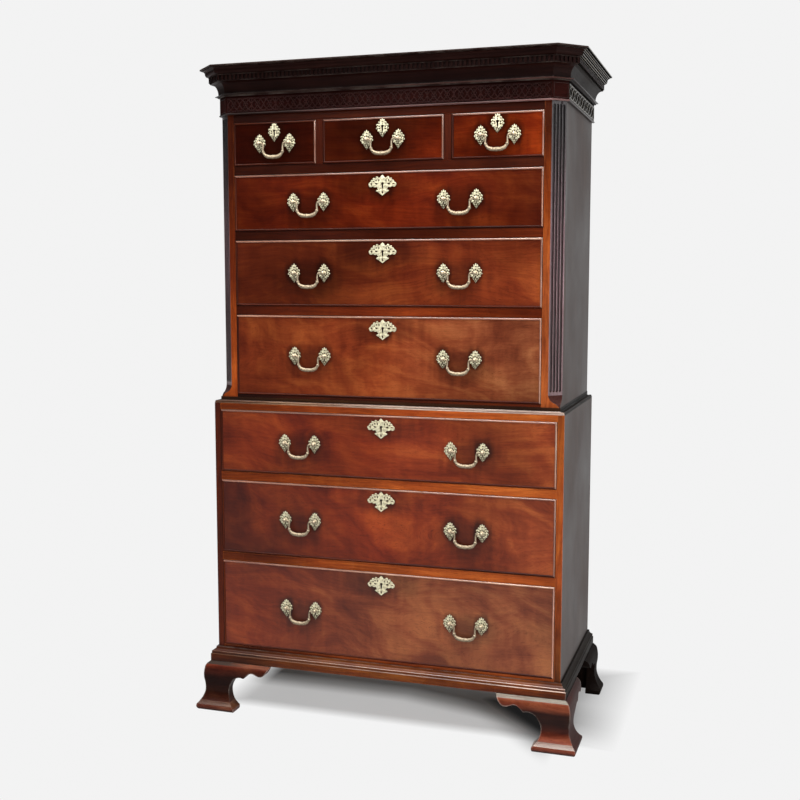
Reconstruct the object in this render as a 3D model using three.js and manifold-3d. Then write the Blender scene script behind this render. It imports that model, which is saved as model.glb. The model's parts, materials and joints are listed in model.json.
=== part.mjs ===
// Mahogany chest on chest: a lower case of three long drawers on ogee bracket feet, and an upper
// case of three small and three long drawers between canted, fluted corners, under a cornice.
// Millimetres, +Z up. The drawers face -Y and +X is to the right of someone facing them.
// The origin is on the floor, midway between the outermost edges of the chest.

import * as THREE from 'three';
import { mergeVertices } from 'three/addons/utils/BufferGeometryUtils.js';
import Module from 'manifold-3d';

const wasm = await Module();
wasm.setup();

// Fits between pieces
const joint_gap = 0.3; // between glued, seated or resting pieces
const drawer_gap = 1.2; // round a drawer in its opening
const pin_gap = 0.35; // round a bail's pin in its post
const overrun = 2; // how far a cutter passes the face that it cuts

// Lower case
const lower_width = 1016;
const lower_depth = 490;
const lower_drawer_heights = [255, 214, 181]; // from the bottom up
const lower_rail = 24.5;
const lower_top_thick = 17.5;
const base_rail = 48.5; // front rail of the floor, half hidden by the base moulding

// Upper case
const waist_ledge = 15; // how far the lower case stands out beyond the upper one
const upper_floor_rail = 25.2;
const upper_drawer_heights = [229, 185, 157]; // from the bottom up
const upper_rail = 25;
const small_drawer_height = 120;
const small_side_width = 249; // the two outer small drawers
const partition_thick = 20.5;
const frieze_rail_show = 22; // rail seen between the small drawers and the frieze
const upper_stile = 51; // width of a corner post, seen from the front
const post_depth = 60;

// Boards shared by both cases
const side_thick = 18;
const back_thick = 12;
const board_thick = 14; // dust boards behind the rails
const rail_depth = 72;
const frieze_rail_thick = 22;
const top_board_thick = 17;
const top_recess = 5; // the top board lies this far below the cornice's upper edge
const guide_height = 14; // of the strips that keep the upper drawers square

// Canted corners
const cant_leg = 32.5;
const cant_start = 20; // plain square height at the foot of a corner post
const tongue_height = 46;
const flute_count = 4;
const flute_radius = 3.7;
const flute_pitch = 10;
const flute_foot = 8; // plain height between the tongue and the flutes
const flute_head = 16; // plain height between the flutes and the frieze
const flute_sides = 10;

// Mouldings
const frieze_height = 51;
const frieze_proud = 5.5;
const frieze_bead = 3; // how far the bead under the frieze stands out from it
const frieze_bead_height = 5.5;
const cornice_height = 80.2;
const cornice_projection = 57;
const waist_height = 17.5;
const waist_lip = 3;
const waist_fascia_share = 0.4; // of the moulding's height, below its hollow
const base_height = 41;
const base_projection = 18;

// Ogee bracket feet
const foot_height = 140;
const foot_spread = 52; // how far a foot stands out beyond the lower case
const foot_setback = 6; // from the face of the lower case out to the back of a foot's wings
const foot_block = 28; // glue block behind a mitred corner, measured in from the case's faces
const foot_block_lift = 12; // of the glue block above the floor
const foot_reach = 172; // from the corner of the case to the tip of a bracket
const rear_bracket_thick = 20;
const rear_bracket_reach = 110; // plain board at the back, in from the side of the case
const rear_bracket_end = 35; // height of its square inner end
const rear_bracket_foot = 50; // its width on the floor, in from the side of the case

// Drawers
const front_thick = 21;
const bead_width = 3.4;
const bead_proud = 2;
const box_side = 9;
const box_back = 9;
const box_bottom = 7;
const bottom_raise = 8; // drawer bottom above the lower edge of its sides
const box_drop = 11; // drawer sides below the top of the opening
const box_clear = 14; // free room behind a closed drawer
const stop_width = 46;
const stop_height = 5;
const stop_length = 26;
const stop_inset_share = 0.2; // of the drawer's width, from its side to the stop

// Locks
const lock_width = 66;
const lock_height = 44;
const lock_thick = 11;
const lock_top = 6; // lock below the upper edge of the drawer front
const key_radius = 2.8;
const key_slot = 2.6;
const key_length = 11.7;
const key_rise = 4; // middle of the key hole's round above the middle of its escutcheon
const key_depth = 12;
const key_sides = 8;
const key_mouth = 60; // degrees of the key hole's round that its slot leaves open

// Escutcheons
const long_escutcheon_width = 79;
const long_escutcheon_height = 56;
const long_escutcheon_top = 9.5; // below the upper edge of the opening
const small_escutcheon_width = 40;
const small_escutcheon_height = 52;
const small_escutcheon_top = 3.5;
const plate_thick = 1.8;
const plate_sink = 0.8; // how far the plates are let into the wood

// Handles
const post_spacing = 90;
const plate_width = 40;
const plate_height = 52;
const post_reach = 12.5; // from the drawer's face to the axis of the bail
const post_radius = 2.8;
const head_radius = 5.4;
const head_length = 5.8;
const post_sides = 6;
const lower_handle_x = 244;
const upper_handle_x = 217;
const handle_rise_share = 0.5; // of the drawer's height
const bail_drop = 42.5;
const shoulder_gap = 3.4; // between a bail's shoulder and the head of its post
const pin_engage = 3.6; // length of a pin inside the head of its post
const pin_radius = 1.5;
const neck_radius = 2.4;
const grip_radius = 5;
const bail_sides = 6;

// Places worked out from the sizes above
const foot_top = foot_height;
const lower_floor_z = foot_top + base_rail;
const lower_half = lower_width / 2;
const lower_opening_half = lower_half - side_thick;
const lower_openings = stack_openings(lower_floor_z, lower_drawer_heights, lower_rail);
const lower_top_z = top_of(lower_openings) + lower_top_thick;
const upper_base_z = lower_top_z + joint_gap;
const upper_floor_z = upper_base_z + upper_floor_rail;
const upper_half = lower_half - waist_ledge;
const upper_depth = lower_depth - waist_ledge;
const upper_opening_half = upper_half - upper_stile;
const upper_openings = stack_openings(upper_floor_z, upper_drawer_heights, upper_rail);
const small_floor_z = top_of(upper_openings) + upper_rail;
const small_top_z = small_floor_z + small_drawer_height;
const frieze_z = small_top_z + frieze_rail_show;
const cornice_z = frieze_z + frieze_height + joint_gap;
const total_height = cornice_z + cornice_height;
const case_top_z = total_height - top_recess;
const total_depth = lower_depth + foot_spread;
const back_y = total_depth / 2;
const back_board_y = back_y - back_thick;
const lower_front_y = back_y - lower_depth;
const upper_front_y = back_y - upper_depth;
const bail_half = post_spacing / 2 - head_radius - shoulder_gap; // to a bail's shoulder
const pin_length = shoulder_gap + pin_engage;

function stack_openings(floor_z, heights, rail) {
  const openings = [];
  let z = floor_z;
  for (const height of heights) {
    openings.push({ z, height });
    z += height + rail;
  }
  return openings;
}

function top_of(openings) {
  const last = openings[openings.length - 1];
  return last.z + last.height;
}

// Solids from three.js geometry

function weld(geometry) {
  const bare = new THREE.BufferGeometry();
  bare.setAttribute('position', geometry.getAttribute('position').clone());
  if (geometry.index) {
    bare.setIndex(geometry.index.clone());
  }
  return mergeVertices(bare);
}

function to_solid(geometry) {
  const welded = weld(geometry);
  return new wasm.Manifold(new wasm.Mesh({
    numProp: 3,
    vertProperties: new Float32Array(welded.getAttribute('position').array),
    triVerts: new Uint32Array(welded.index.array),
  }));
}

function to_geometry(solid) {
  const mesh = solid.getMesh();
  const geometry = new THREE.BufferGeometry();
  geometry.setAttribute('position', new THREE.BufferAttribute(new Float32Array(mesh.vertProperties), 3));
  geometry.setIndex(new THREE.BufferAttribute(new Uint32Array(mesh.triVerts), 1));
  return geometry;
}

function join(first, ...others) {
  const sum = others.reduce((solid, other) => solid.add(to_solid(other)), to_solid(first));
  return to_geometry(sum);
}

function cut(first, ...others) {
  const rest = others.reduce((solid, other) => solid.subtract(to_solid(other)), to_solid(first));
  return to_geometry(rest);
}

function common(first, second) {
  return to_geometry(to_solid(first).intersect(to_solid(second)));
}

function moved(geometry, x, y, z) {
  const copy = geometry.clone();
  copy.translate(x, y, z);
  return copy;
}

// Mirrors a piece left to right and turns its faces outwards again.
function mirrored(geometry) {
  const copy = weld(geometry);
  copy.scale(-1, 1, 1);
  const index = copy.index.array;
  for (let i = 0; i < index.length; i += 3) {
    [index[i], index[i + 1]] = [index[i + 1], index[i]];
  }
  return copy;
}

function slab([x0, x1], [y0, y1], [z0, z1]) {
  const box = new THREE.BoxGeometry(x1 - x0, y1 - y0, z1 - z0);
  box.translate((x0 + x1) / 2, (y0 + y1) / 2, (z0 + z1) / 2);
  return box;
}

function extrude(points, length) {
  const shape = new THREE.Shape(points.map(([a, b]) => new THREE.Vector2(a, b)));
  return new THREE.ExtrudeGeometry(shape, { depth: length, bevelEnabled: false, steps: 1 });
}

// An outline seen from the front (x, z), carried from y0 back to y1.
function prism_y(points, y0, y1) {
  const geometry = extrude(points, y1 - y0);
  geometry.rotateX(Math.PI / 2);
  geometry.translate(0, y1, 0);
  return geometry;
}

// An outline seen from the right side (y, z), carried from x0 to x1.
function prism_x(points, x0, x1) {
  const geometry = extrude(points, x1 - x0);
  geometry.applyMatrix4(new THREE.Matrix4().makeBasis(
    new THREE.Vector3(0, 1, 0),
    new THREE.Vector3(0, 0, 1),
    new THREE.Vector3(1, 0, 0),
  ));
  geometry.translate(x0, 0, 0);
  return geometry;
}

function smooth(points, count) {
  const curve = new THREE.SplineCurve(points.map(([a, b]) => new THREE.Vector2(a, b)));
  return curve.getSpacedPoints(count).map((point) => [point.x, point.y]);
}

// Points of a quarter ellipse from one angle to another, in degrees.
function arc([centre_a, centre_b], [radius_a, radius_b], from, to, steps) {
  const points = [];
  for (let i = 0; i <= steps; i += 1) {
    const angle = THREE.MathUtils.degToRad(from + (to - from) * i / steps);
    points.push([centre_a + radius_a * Math.cos(angle), centre_b + radius_b * Math.sin(angle)]);
  }
  return points;
}

// Joins rings of points into one closed body, with a flat cap on the first and the last ring.
function skin(rings, cap_outline) {
  const count = rings[0].length;
  const contour = cap_outline.map(([a, b]) => new THREE.Vector2(a, b));
  const turn = Math.sign(THREE.ShapeUtils.area(contour));
  const positions = rings.flat(2);
  const faces = [];
  for (let k = 0; k + 1 < rings.length; k += 1) {
    for (let j = 0; j < count; j += 1) {
      const next = (j + 1) % count;
      const [a, b] = [k * count + j, k * count + next];
      faces.push([a, b, b + count], [a, b + count, a + count]);
    }
  }
  const last = (rings.length - 1) * count;
  for (const [a, b, c] of THREE.ShapeUtils.triangulateShape(contour, [])) {
    const way = Math.sign(THREE.ShapeUtils.area([contour[a], contour[b], contour[c]])) * turn;
    const [p, q, r] = way > 0 ? [a, b, c] : [a, c, b];
    faces.push([p, r, q], [last + p, last + q, last + r]);
  }
  const geometry = new THREE.BufferGeometry();
  geometry.setAttribute('position', new THREE.Float32BufferAttribute(positions, 3));
  const corner = (i) => new THREE.Vector3(...positions.slice(3 * i, 3 * i + 3));
  const volume = faces.reduce((sum, [a, b, c]) => sum + corner(a).cross(corner(b)).dot(corner(c)), 0);
  const facing = volume > 0 ? faces : faces.map(([a, b, c]) => [a, c, b]);
  geometry.setIndex(facing.flat());
  return geometry;
}

// Plan of a case round its left side, front and right side, a given distance outside its faces.
function plan_path(half_width, depth, leg, offset) {
  const x = half_width + offset;
  const front = back_y - depth - offset;
  if (leg === 0) {
    return [[-x, back_y], [-x, front], [x, front], [x, back_y]];
  }
  const grown = leg + offset * (2 - Math.SQRT2);
  return [
    [-x, back_y], [-x, front + grown], [-x + grown, front],
    [x - grown, front], [x, front + grown], [x, back_y],
  ];
}

// A moulding of the given section (offset from the case, height), mitred round a case.
function moulding(section, half_width, depth, leg) {
  const paths = section.map(([offset]) => plan_path(half_width, depth, leg, offset));
  const rings = paths[0].map((_, k) => section.map(([, z], j) => [...paths[j][k], z]));
  return skin(rings, section);
}

// A bent rod lying in the x-z plane, with a radius of its own at each station.
function rod(stations, sides) {
  const flat = (i) => new THREE.Vector2(stations[i].x, stations[i].z);
  const rings = stations.map(({ x, z, radius }, i) => {
    const before = flat(Math.max(i - 1, 0));
    const after = flat(Math.min(i + 1, stations.length - 1));
    const along = after.sub(before).normalize();
    return Array.from({ length: sides }, (_, j) => {
      const angle = 2 * Math.PI * (j + 1 / 2) / sides;
      const across = radius * Math.cos(angle);
      return [x - along.y * across, radius * Math.sin(angle), z + along.x * across];
    });
  });
  const cap = arc([0, 0], [1, 1], 0, 360 * (sides - 1) / sides, sides - 1);
  return skin(rings, cap);
}

// Boards of the cases

// A floor or divider: a front rail, a thinner board behind it, and what guides the drawers on it.
function deck({ front_y, front_half, back_half, behind, top_z, rail_thick, thin, guides, stops }) {
  const board_back = back_board_y - joint_gap;
  const pieces = [
    slab([-front_half, front_half], [front_y, front_y + rail_depth], [top_z - rail_thick, top_z]),
    slab([-back_half, back_half], [front_y + behind, board_back], [top_z - thin, top_z]),
  ];
  if (guides > 0) {
    for (const side of [-1, 1]) {
      const edges = [side * back_half, side * upper_opening_half].sort((a, b) => a - b);
      pieces.push(slab(edges, [front_y + behind, board_back], [top_z - thin / 2, top_z + guides]));
    }
  }
  for (const x of stops) {
    const y = front_y + front_thick + joint_gap;
    pieces.push(slab(
      [x - stop_width / 2, x + stop_width / 2],
      [y, y + stop_length],
      [top_z - rail_thick / 2, top_z + stop_height],
    ));
  }
  return join(...pieces);
}

function stops_across(centre, width) {
  const x = width / 2 - width * stop_inset_share;
  return [centre - x, centre + x];
}

function lower_deck(top_z, rail_thick, thin, stops) {
  const half = lower_opening_half - joint_gap;
  return deck({
    front_y: lower_front_y, front_half: half, back_half: half, behind: rail_depth / 2,
    top_z, rail_thick, thin, guides: 0, stops,
  });
}

function upper_deck(top_z, rail_thick, stops) {
  return deck({
    front_y: upper_front_y,
    front_half: upper_opening_half - joint_gap,
    back_half: upper_half - side_thick - joint_gap,
    behind: post_depth + joint_gap,
    top_z, rail_thick, thin: board_thick, guides: guide_height, stops,
  });
}

// The top of the upper case with the tall rail that backs the frieze.
function upper_top_board() {
  const half = upper_opening_half - joint_gap;
  const wide = upper_half - side_thick - joint_gap;
  const board = [case_top_z - top_board_thick, case_top_z];
  return join(
    slab([-half, half], [upper_front_y, upper_front_y + frieze_rail_thick], [small_top_z, case_top_z]),
    slab([-half, half], [upper_front_y, upper_front_y + rail_depth], board),
    slab([-wide, wide], [upper_front_y + post_depth + joint_gap, back_board_y - joint_gap], board),
  );
}

function side_board(half_width, front_y, z0, z1) {
  return slab([half_width - side_thick, half_width], [front_y, back_y], [z0, z1]);
}

function back_board(half_width, z0, z1) {
  const half = half_width - side_thick - joint_gap;
  return slab([-half, half], [back_board_y, back_y], [z0, z1]);
}

function partition() {
  return slab(
    [-partition_thick / 2, partition_thick / 2],
    [upper_front_y, back_board_y - joint_gap],
    [small_floor_z + joint_gap, small_top_z - joint_gap],
  );
}

// Right-hand corner post of the upper case: square at its foot, then a tongue, then a fluted cant.
function corner_post() {
  const front = upper_front_y;
  const post = slab(
    [upper_opening_half, upper_half],
    [front, front + post_depth],
    [upper_base_z, case_top_z],
  );
  const depth = cant_leg / Math.SQRT2;
  const tongue_z = upper_base_z + cant_start;
  const cant_z = tongue_z + tongue_height;
  const tongue_shares = [[0, 0], [0.06, 0.16], [0.3, 0.38], [0.62, 0.5], [0.86, 0.66], [0.97, 0.84], [1, 1]];
  const face = smooth(tongue_shares.map(([d, z]) => [depth * d, tongue_z + tongue_height * z]), 8);
  const waste = [
    [-depth, tongue_z], ...face, [depth, case_top_z + overrun], [-depth, case_top_z + overrun],
  ];
  // The waste is drawn as depth in from the corner against height, and runs along the cant.
  const cutter = prism_x(waste, -cant_leg, cant_leg);
  cutter.rotateZ(THREE.MathUtils.degToRad(45));
  cutter.translate(upper_half, front, 0);
  const flutes = [];
  const flute_z0 = cant_z + flute_foot;
  const flute_z1 = frieze_z - flute_head;
  const flute = new THREE.CapsuleGeometry(flute_radius, flute_z1 - flute_z0, 2, flute_sides);
  flute.rotateX(Math.PI / 2);
  for (let i = 0; i < flute_count; i += 1) {
    const along = (i - (flute_count - 1) / 2) * flute_pitch / Math.SQRT2;
    const x = upper_half - cant_leg / 2 + along;
    const y = front + cant_leg / 2 + along;
    flutes.push(moved(flute, x, y, (flute_z0 + flute_z1) / 2));
  }
  return cut(post, cutter, ...flutes);
}

// Mouldings

function cornice() {
  const section_shares = [
    [0.13, 0], [0.185, 0.02], [0.205, 0.055], [0.185, 0.09], [0.165, 0.105],
    ...arc([0.5, 0.125], [0.333, 0.36], 180, 90, 6),
    [0.55, 0.485], [0.55, 0.685], [0.61, 0.685], [0.61, 0.72],
    [0.66, 0.735], [0.72, 0.77], [0.775, 0.83], [0.83, 0.885], [0.91, 0.915], [0.91, 0.935],
    [1, 0.94], [1, 1],
  ];
  const section = [
    [joint_gap, cornice_z],
    ...section_shares.map(([a, b]) => [a * cornice_projection, cornice_z + b * cornice_height]),
    [joint_gap, total_height],
  ];
  return moulding(section, upper_half, upper_depth, cant_leg);
}

function frieze() {
  const bead_radius = frieze_bead_height / 2;
  const section = [
    [joint_gap, frieze_z],
    ...arc([frieze_proud, frieze_z + bead_radius], [frieze_bead, bead_radius], -90, 90, 4),
    [frieze_proud, frieze_z + frieze_height],
    [joint_gap, frieze_z + frieze_height],
  ];
  return moulding(section, upper_half, upper_depth, cant_leg);
}

function waist_moulding() {
  const z = upper_base_z;
  const fascia = waist_fascia_share * waist_height;
  const hollow = [waist_ledge - waist_lip, waist_height - fascia - waist_lip / 2];
  const section = [
    [joint_gap, z], [waist_ledge, z], [waist_ledge, z + fascia],
    ...arc([waist_ledge, z + fascia + hollow[1]], hollow, -90, -180, 5).slice(1),
    [waist_lip, z + waist_height], [joint_gap, z + waist_height],
  ];
  return moulding(section, upper_half, upper_depth, 0);
}

function base_moulding() {
  const z = foot_top + joint_gap;
  const section_shares = [
    [1, 0], [1, 0.5], [0.86, 0.56], [0.86, 0.61], [0.78, 0.64], [0.6, 0.7],
    [0.42, 0.8], [0.34, 0.9], [0.3, 0.94], [0.3, 1],
  ];
  const section = [
    [joint_gap, z],
    ...section_shares.map(([a, b]) => [a * base_projection, z + b * base_height]),
    [joint_gap, z + base_height],
  ];
  return moulding(section, lower_half, lower_depth, 0);
}

// Feet

// Ogee section of a foot, as (distance outside the case, height).
function ogee_section() {
  const shares = [
    [0.365, 1], [0.52, 0.9], [0.64, 0.79], [0.645, 0.67],
    [0.59, 0.52], [0.595, 0.38], [0.71, 0.25], [0.86, 0.165],
  ];
  const pad_shares = [[0.955, 0.125], [1, 0.085], [0.985, 0.035], [0.92, 0]];
  const sized = (points) => points.map(([a, b]) => [a * foot_spread, b * foot_height]);
  return [...smooth(sized(shares), 11), ...sized(pad_shares)];
}

// Outline of a bracket, as (distance in from the corner of the case, height).
function bracket_outline() {
  const sized = (points) => points.map(([a, b]) => [a * foot_reach, b * foot_height]);
  const inner_shares = [
    [0.37, 0.11], [0.31, 0.19], [0.275, 0.3], [0.265, 0.41], [0.275, 0.5], [0.305, 0.58], [0.345, 0.655],
  ];
  const scroll_shares = [[0.4, 0.705], [0.475, 0.73], [0.54, 0.716]];
  const lobe_shares = [
    [0.575, 0.75], [0.617, 0.8], [0.665, 0.832], [0.715, 0.835], [0.765, 0.812],
    [0.825, 0.79], [0.885, 0.8], [0.935, 0.85], [0.975, 0.93],
  ];
  return [
    [-foot_spread - overrun, 0],
    ...sized([[0.385, 0], [0.395, 0.03], [0.395, 0.085]]),
    ...smooth(sized(inner_shares), 7),
    ...smooth(sized(scroll_shares), 3),
    ...smooth(sized(lobe_shares), 9),
    [foot_reach, foot_height],
    [-foot_spread - overrun, foot_height],
  ];
}

// Everything behind the ogee face that a right-hand foot shows at the front.
function behind_front_face() {
  const face = ogee_section().map(([out, z]) => [lower_front_y - out, z]);
  const far = lower_front_y + foot_reach + overrun;
  return prism_x(
    [...face, [far, 0], [far, foot_height]],
    lower_half - foot_reach - overrun,
    lower_half + foot_spread + overrun,
  );
}

// Everything behind the ogee face that a right-hand foot shows at the side, from y0 to y1.
function behind_side_face(y0, y1) {
  const face = ogee_section().map(([out, z]) => [lower_half + out, z]);
  const far = lower_half - foot_reach - overrun;
  return prism_y([...face, [far, 0], [far, foot_height]], y0, y1);
}

// A bracket that runs back (way 1) or forward (way -1) from a corner at the given y.
function side_bracket(corner_y, way) {
  const outline = bracket_outline().map(([inward, z]) => [corner_y + way * inward, z]);
  return prism_x(outline, lower_half + foot_setback, lower_half + foot_spread + overrun);
}

function front_foot() {
  const outline = bracket_outline().map(([inward, z]) => [lower_half - inward, z]);
  const front_bracket = prism_y(
    outline,
    lower_front_y - foot_spread - overrun,
    lower_front_y - foot_setback,
  );
  const brackets = join(front_bracket, side_bracket(lower_front_y, 1));
  const side_face = behind_side_face(
    lower_front_y - foot_spread - overrun,
    lower_front_y + foot_reach + overrun,
  );
  const block = slab(
    [lower_half - foot_block, lower_half + foot_setback + overrun],
    [lower_front_y - foot_setback - overrun, lower_front_y + foot_block],
    [foot_block_lift, foot_height],
  );
  return join(common(common(behind_front_face(), side_face), brackets), block);
}

function rear_foot() {
  const side_face = behind_side_face(back_y - foot_reach - overrun, back_y);
  const inner = lower_half - rear_bracket_reach;
  const outer = lower_half + foot_setback + overrun;
  const slope = [
    [outer, 0], [outer, foot_height], [inner, foot_height],
    [inner, foot_height - rear_bracket_end], [lower_half - rear_bracket_foot, 0],
  ];
  return join(
    common(side_face, side_bracket(back_y, -1)),
    prism_y(slope, back_y - rear_bracket_thick, back_y),
  );
}

// Brasses

// Outline symmetric about X = 0 from its right half, given as shares of a width and a height.
function symmetric(half_shares, width, height) {
  const right = half_shares.map(([a, b]) => [a * width, b * height]);
  const left = right.slice(1, -1).reverse().map(([x, z]) => [-x, z]);
  return [...right, ...left];
}

// Outline of a pierced plate about its middle: a leafy lozenge with a round head and a pointed tail.
function plate_outline(width, height) {
  const half_shares = [
    [0, 0.5], [0.15, 0.43], [0.26, 0.3], [0.45, 0.2], [0.5, 0.03],
    [0.43, -0.13], [0.28, -0.22], [0.18, -0.34], [0.07, -0.42], [0, -0.5],
  ];
  return symmetric(half_shares, width, height);
}

function post() {
  const tip = post_reach + head_length / 2;
  const root = post_reach - head_length / 2;
  const profile = [
    [0, plate_sink], [post_radius, plate_sink], [post_radius, -root + post_radius / 2],
    [head_radius, -root], [head_radius, -tip + post_radius / 2], [post_radius, -tip], [0, -tip],
  ];
  const points = profile.reverse().map(([radius, y]) => new THREE.Vector2(radius, y));
  return new THREE.LatheGeometry(points, post_sides);
}

// Hole for a bail's pin in the inner half of a head, its mouth on the side away from the given one.
function pin_bore(side) {
  const radius = pin_radius + pin_gap;
  const length = pin_engage + joint_gap + overrun;
  const bore = new THREE.CylinderGeometry(radius, radius, length, post_sides);
  bore.rotateZ(Math.PI / 2);
  return moved(bore, -side * (head_radius + overrun - length / 2), 0, 0);
}

function key_hole(z) {
  const round = arc([0, z], [key_radius, key_radius], key_mouth / 2 - 90, 270 - key_mouth / 2, key_sides);
  return [...round, [-key_slot / 2, z - key_length], [key_slot / 2, z - key_length]];
}

// Outline of the wide escutcheon of a long drawer about its middle: a batwing over a small pendant.
function long_escutcheon_outline() {
  const half_shares = [
    [0, 0.5], [0.08, 0.37], [0.22, 0.39], [0.34, 0.3], [0.45, 0.17], [0.5, 0.03],
    [0.42, -0.1], [0.2, -0.1], [0.08, -0.18], [0.21, -0.28], [0.08, -0.42], [0, -0.5],
  ];
  return symmetric(half_shares, long_escutcheon_width, long_escutcheon_height);
}

// Drawers: local origin at the middle of the opening's lower edge, on the face of the case.

function drawer_front(width, height, handles, small) {
  const half = width / 2 - drawer_gap;
  const [low, high] = [drawer_gap, height - drawer_gap];
  const board = slab([-half, half], [-bead_proud, front_thick], [low, high]);
  const panel = slab(
    [-half + bead_width, half - bead_width],
    [-bead_proud - overrun, 0],
    [low + bead_width, high - bead_width],
  );
  const lock = slab(
    [-lock_width / 2, lock_width / 2],
    [front_thick / 2, front_thick + lock_thick],
    [high - lock_top - lock_height, high - lock_top],
  );
  const handle_z = height * handle_rise_share;
  const brasses = [];
  const bores = [];
  for (const x of handles) {
    for (const side of [-1, 1]) {
      const post_x = x + side * post_spacing / 2;
      const plate = prism_y(plate_outline(plate_width, plate_height), -plate_thick, plate_sink);
      brasses.push(moved(plate, post_x, 0, handle_z), moved(post(), post_x, 0, handle_z));
      bores.push(moved(pin_bore(side), post_x, -post_reach, handle_z));
    }
  }
  const key_z = small
    ? height - small_escutcheon_top - small_escutcheon_height / 2
    : height - long_escutcheon_top - long_escutcheon_height / 2;
  const outline = small
    ? plate_outline(small_escutcheon_width, small_escutcheon_height)
    : long_escutcheon_outline();
  brasses.push(moved(prism_y(outline, -plate_thick, plate_sink), 0, 0, key_z));
  bores.push(prism_y(key_hole(key_z + key_rise), -plate_thick - overrun, key_depth));
  return cut(join(cut(board, panel), lock, ...brasses), ...bores);
}

function drawer_box(width, height, length) {
  const half = width / 2 - drawer_gap;
  const top = height - box_drop;
  const front = front_thick + joint_gap;
  const back = front + length;
  const body = slab([-half, half], [front, back], [joint_gap, top]);
  const room = slab(
    [-half + box_side, half - box_side],
    [front - overrun, back - box_back],
    [bottom_raise + box_bottom, top + overrun],
  );
  const under = slab(
    [-half + box_side, half - box_side],
    [front - overrun, back + overrun],
    [-overrun, bottom_raise],
  );
  return cut(body, room, under);
}

// Swan-neck bail, hanging: local origin on its axis, midway between the posts.
function bail() {
  const half_shares = [
    [0.97, -0.03, 1], [0.88, -0.07, 1], [0.84, -0.2, 1], [0.84, -0.42, 1.05], [0.86, -0.56, 1.1],
    [0.82, -0.64, 1.6], [0.76, -0.76, 1.5], [0.6, -0.9, 1.9], [0.4, -0.97, 2.15], [0.14, -1, 2],
  ];
  const neck = half_shares.map(([x, z, radius]) => ({
    x: x * (bail_half - neck_radius / 2), z: z * bail_drop, radius: radius * neck_radius,
  }));
  const pin = [
    { x: bail_half + pin_length, z: 0, radius: pin_radius },
    { x: bail_half + joint_gap, z: 0, radius: pin_radius },
    { x: bail_half, z: 0, radius: neck_radius },
  ];
  const right = [...pin, ...neck];
  const middle = { x: 0, z: -bail_drop, radius: grip_radius };
  const left = [...right].reverse().map((station) => ({ ...station, x: -station.x }));
  return rod([...right, middle, ...left], bail_sides);
}

// Finishes

function wood(colour, roughness) {
  return () => new THREE.MeshStandardMaterial({ color: colour, roughness, metalness: 0, flatShading: true });
}

function brass() {
  const colour = 0xc9b67c;
  return new THREE.MeshStandardMaterial({ color: colour, roughness: 0.3, metalness: 1, flatShading: true });
}

const case_wood = wood(0x7a2f17, 0.35);
const dark_wood = wood(0x3a1410, 0.35);
const drawer_wood = wood(0x84341c, 0.32);
const lining_wood = wood(0xa9855a, 0.6);
const back_wood = wood(0x8a6a48, 0.7);

function place(parent, name, geometry, finish, [x, y, z] = [0, 0, 0]) {
  const mesh = new THREE.Mesh(geometry, finish());
  mesh.name = name;
  mesh.position.set(x, y, z);
  parent.add(mesh);
}

function place_pair(parent, name, right, finish) {
  place(parent, `${name}_left`, mirrored(right), finish);
  place(parent, `${name}_right`, right, finish);
}

function place_drawer(parent, name, { centre, front_y, z, width, height, length, handles, small }) {
  const drawer = new THREE.Group();
  drawer.position.set(centre, front_y, z);
  place(drawer, `${name}_front`, drawer_front(width, height, handles, small), drawer_wood);
  place(drawer, `${name}_box`, drawer_box(width, height, length), lining_wood);
  const sides = handles.length > 1 ? ['_left', '_right'] : [''];
  handles.forEach((x, i) => {
    const at = [x, -post_reach, height * handle_rise_share];
    place(drawer, `${name}_bail${sides[i]}`, bail(), brass, at);
  });
  parent.add(drawer);
}

function box_length(depth) {
  return depth - front_thick - joint_gap - back_thick - box_clear;
}

function lower_case() {
  const group = new THREE.Group();
  const width = 2 * lower_opening_half;
  const stops = stops_across(0, width);
  const back = back_board(lower_half, foot_top + joint_gap, lower_top_z);
  const [low, middle, high] = lower_openings;
  const side = side_board(lower_half, lower_front_y, foot_top + joint_gap, lower_top_z);
  place_pair(group, 'lower_side', side, case_wood);
  place(group, 'lower_back', back, back_wood);
  place(group, 'lower_floor', lower_deck(low.z, base_rail - joint_gap, board_thick, stops), case_wood);
  place(group, 'lower_divider_1', lower_deck(middle.z, lower_rail, board_thick, stops), case_wood);
  place(group, 'lower_divider_2', lower_deck(high.z, lower_rail, board_thick, stops), case_wood);
  place(group, 'lower_top', lower_deck(lower_top_z, lower_top_thick, lower_top_thick, []), case_wood);
  place(group, 'waist_moulding', waist_moulding(), case_wood);
  place(group, 'base_moulding', base_moulding(), case_wood);
  place_pair(group, 'front_foot', front_foot(), dark_wood);
  place_pair(group, 'rear_foot', rear_foot(), dark_wood);
  lower_openings.forEach(({ z, height }, i) => {
    place_drawer(group, `lower_drawer_${i + 1}`, {
      centre: 0, front_y: lower_front_y, z, width, height, length: box_length(lower_depth),
      handles: [-lower_handle_x, lower_handle_x], small: false,
    });
  });
  return group;
}

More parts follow.
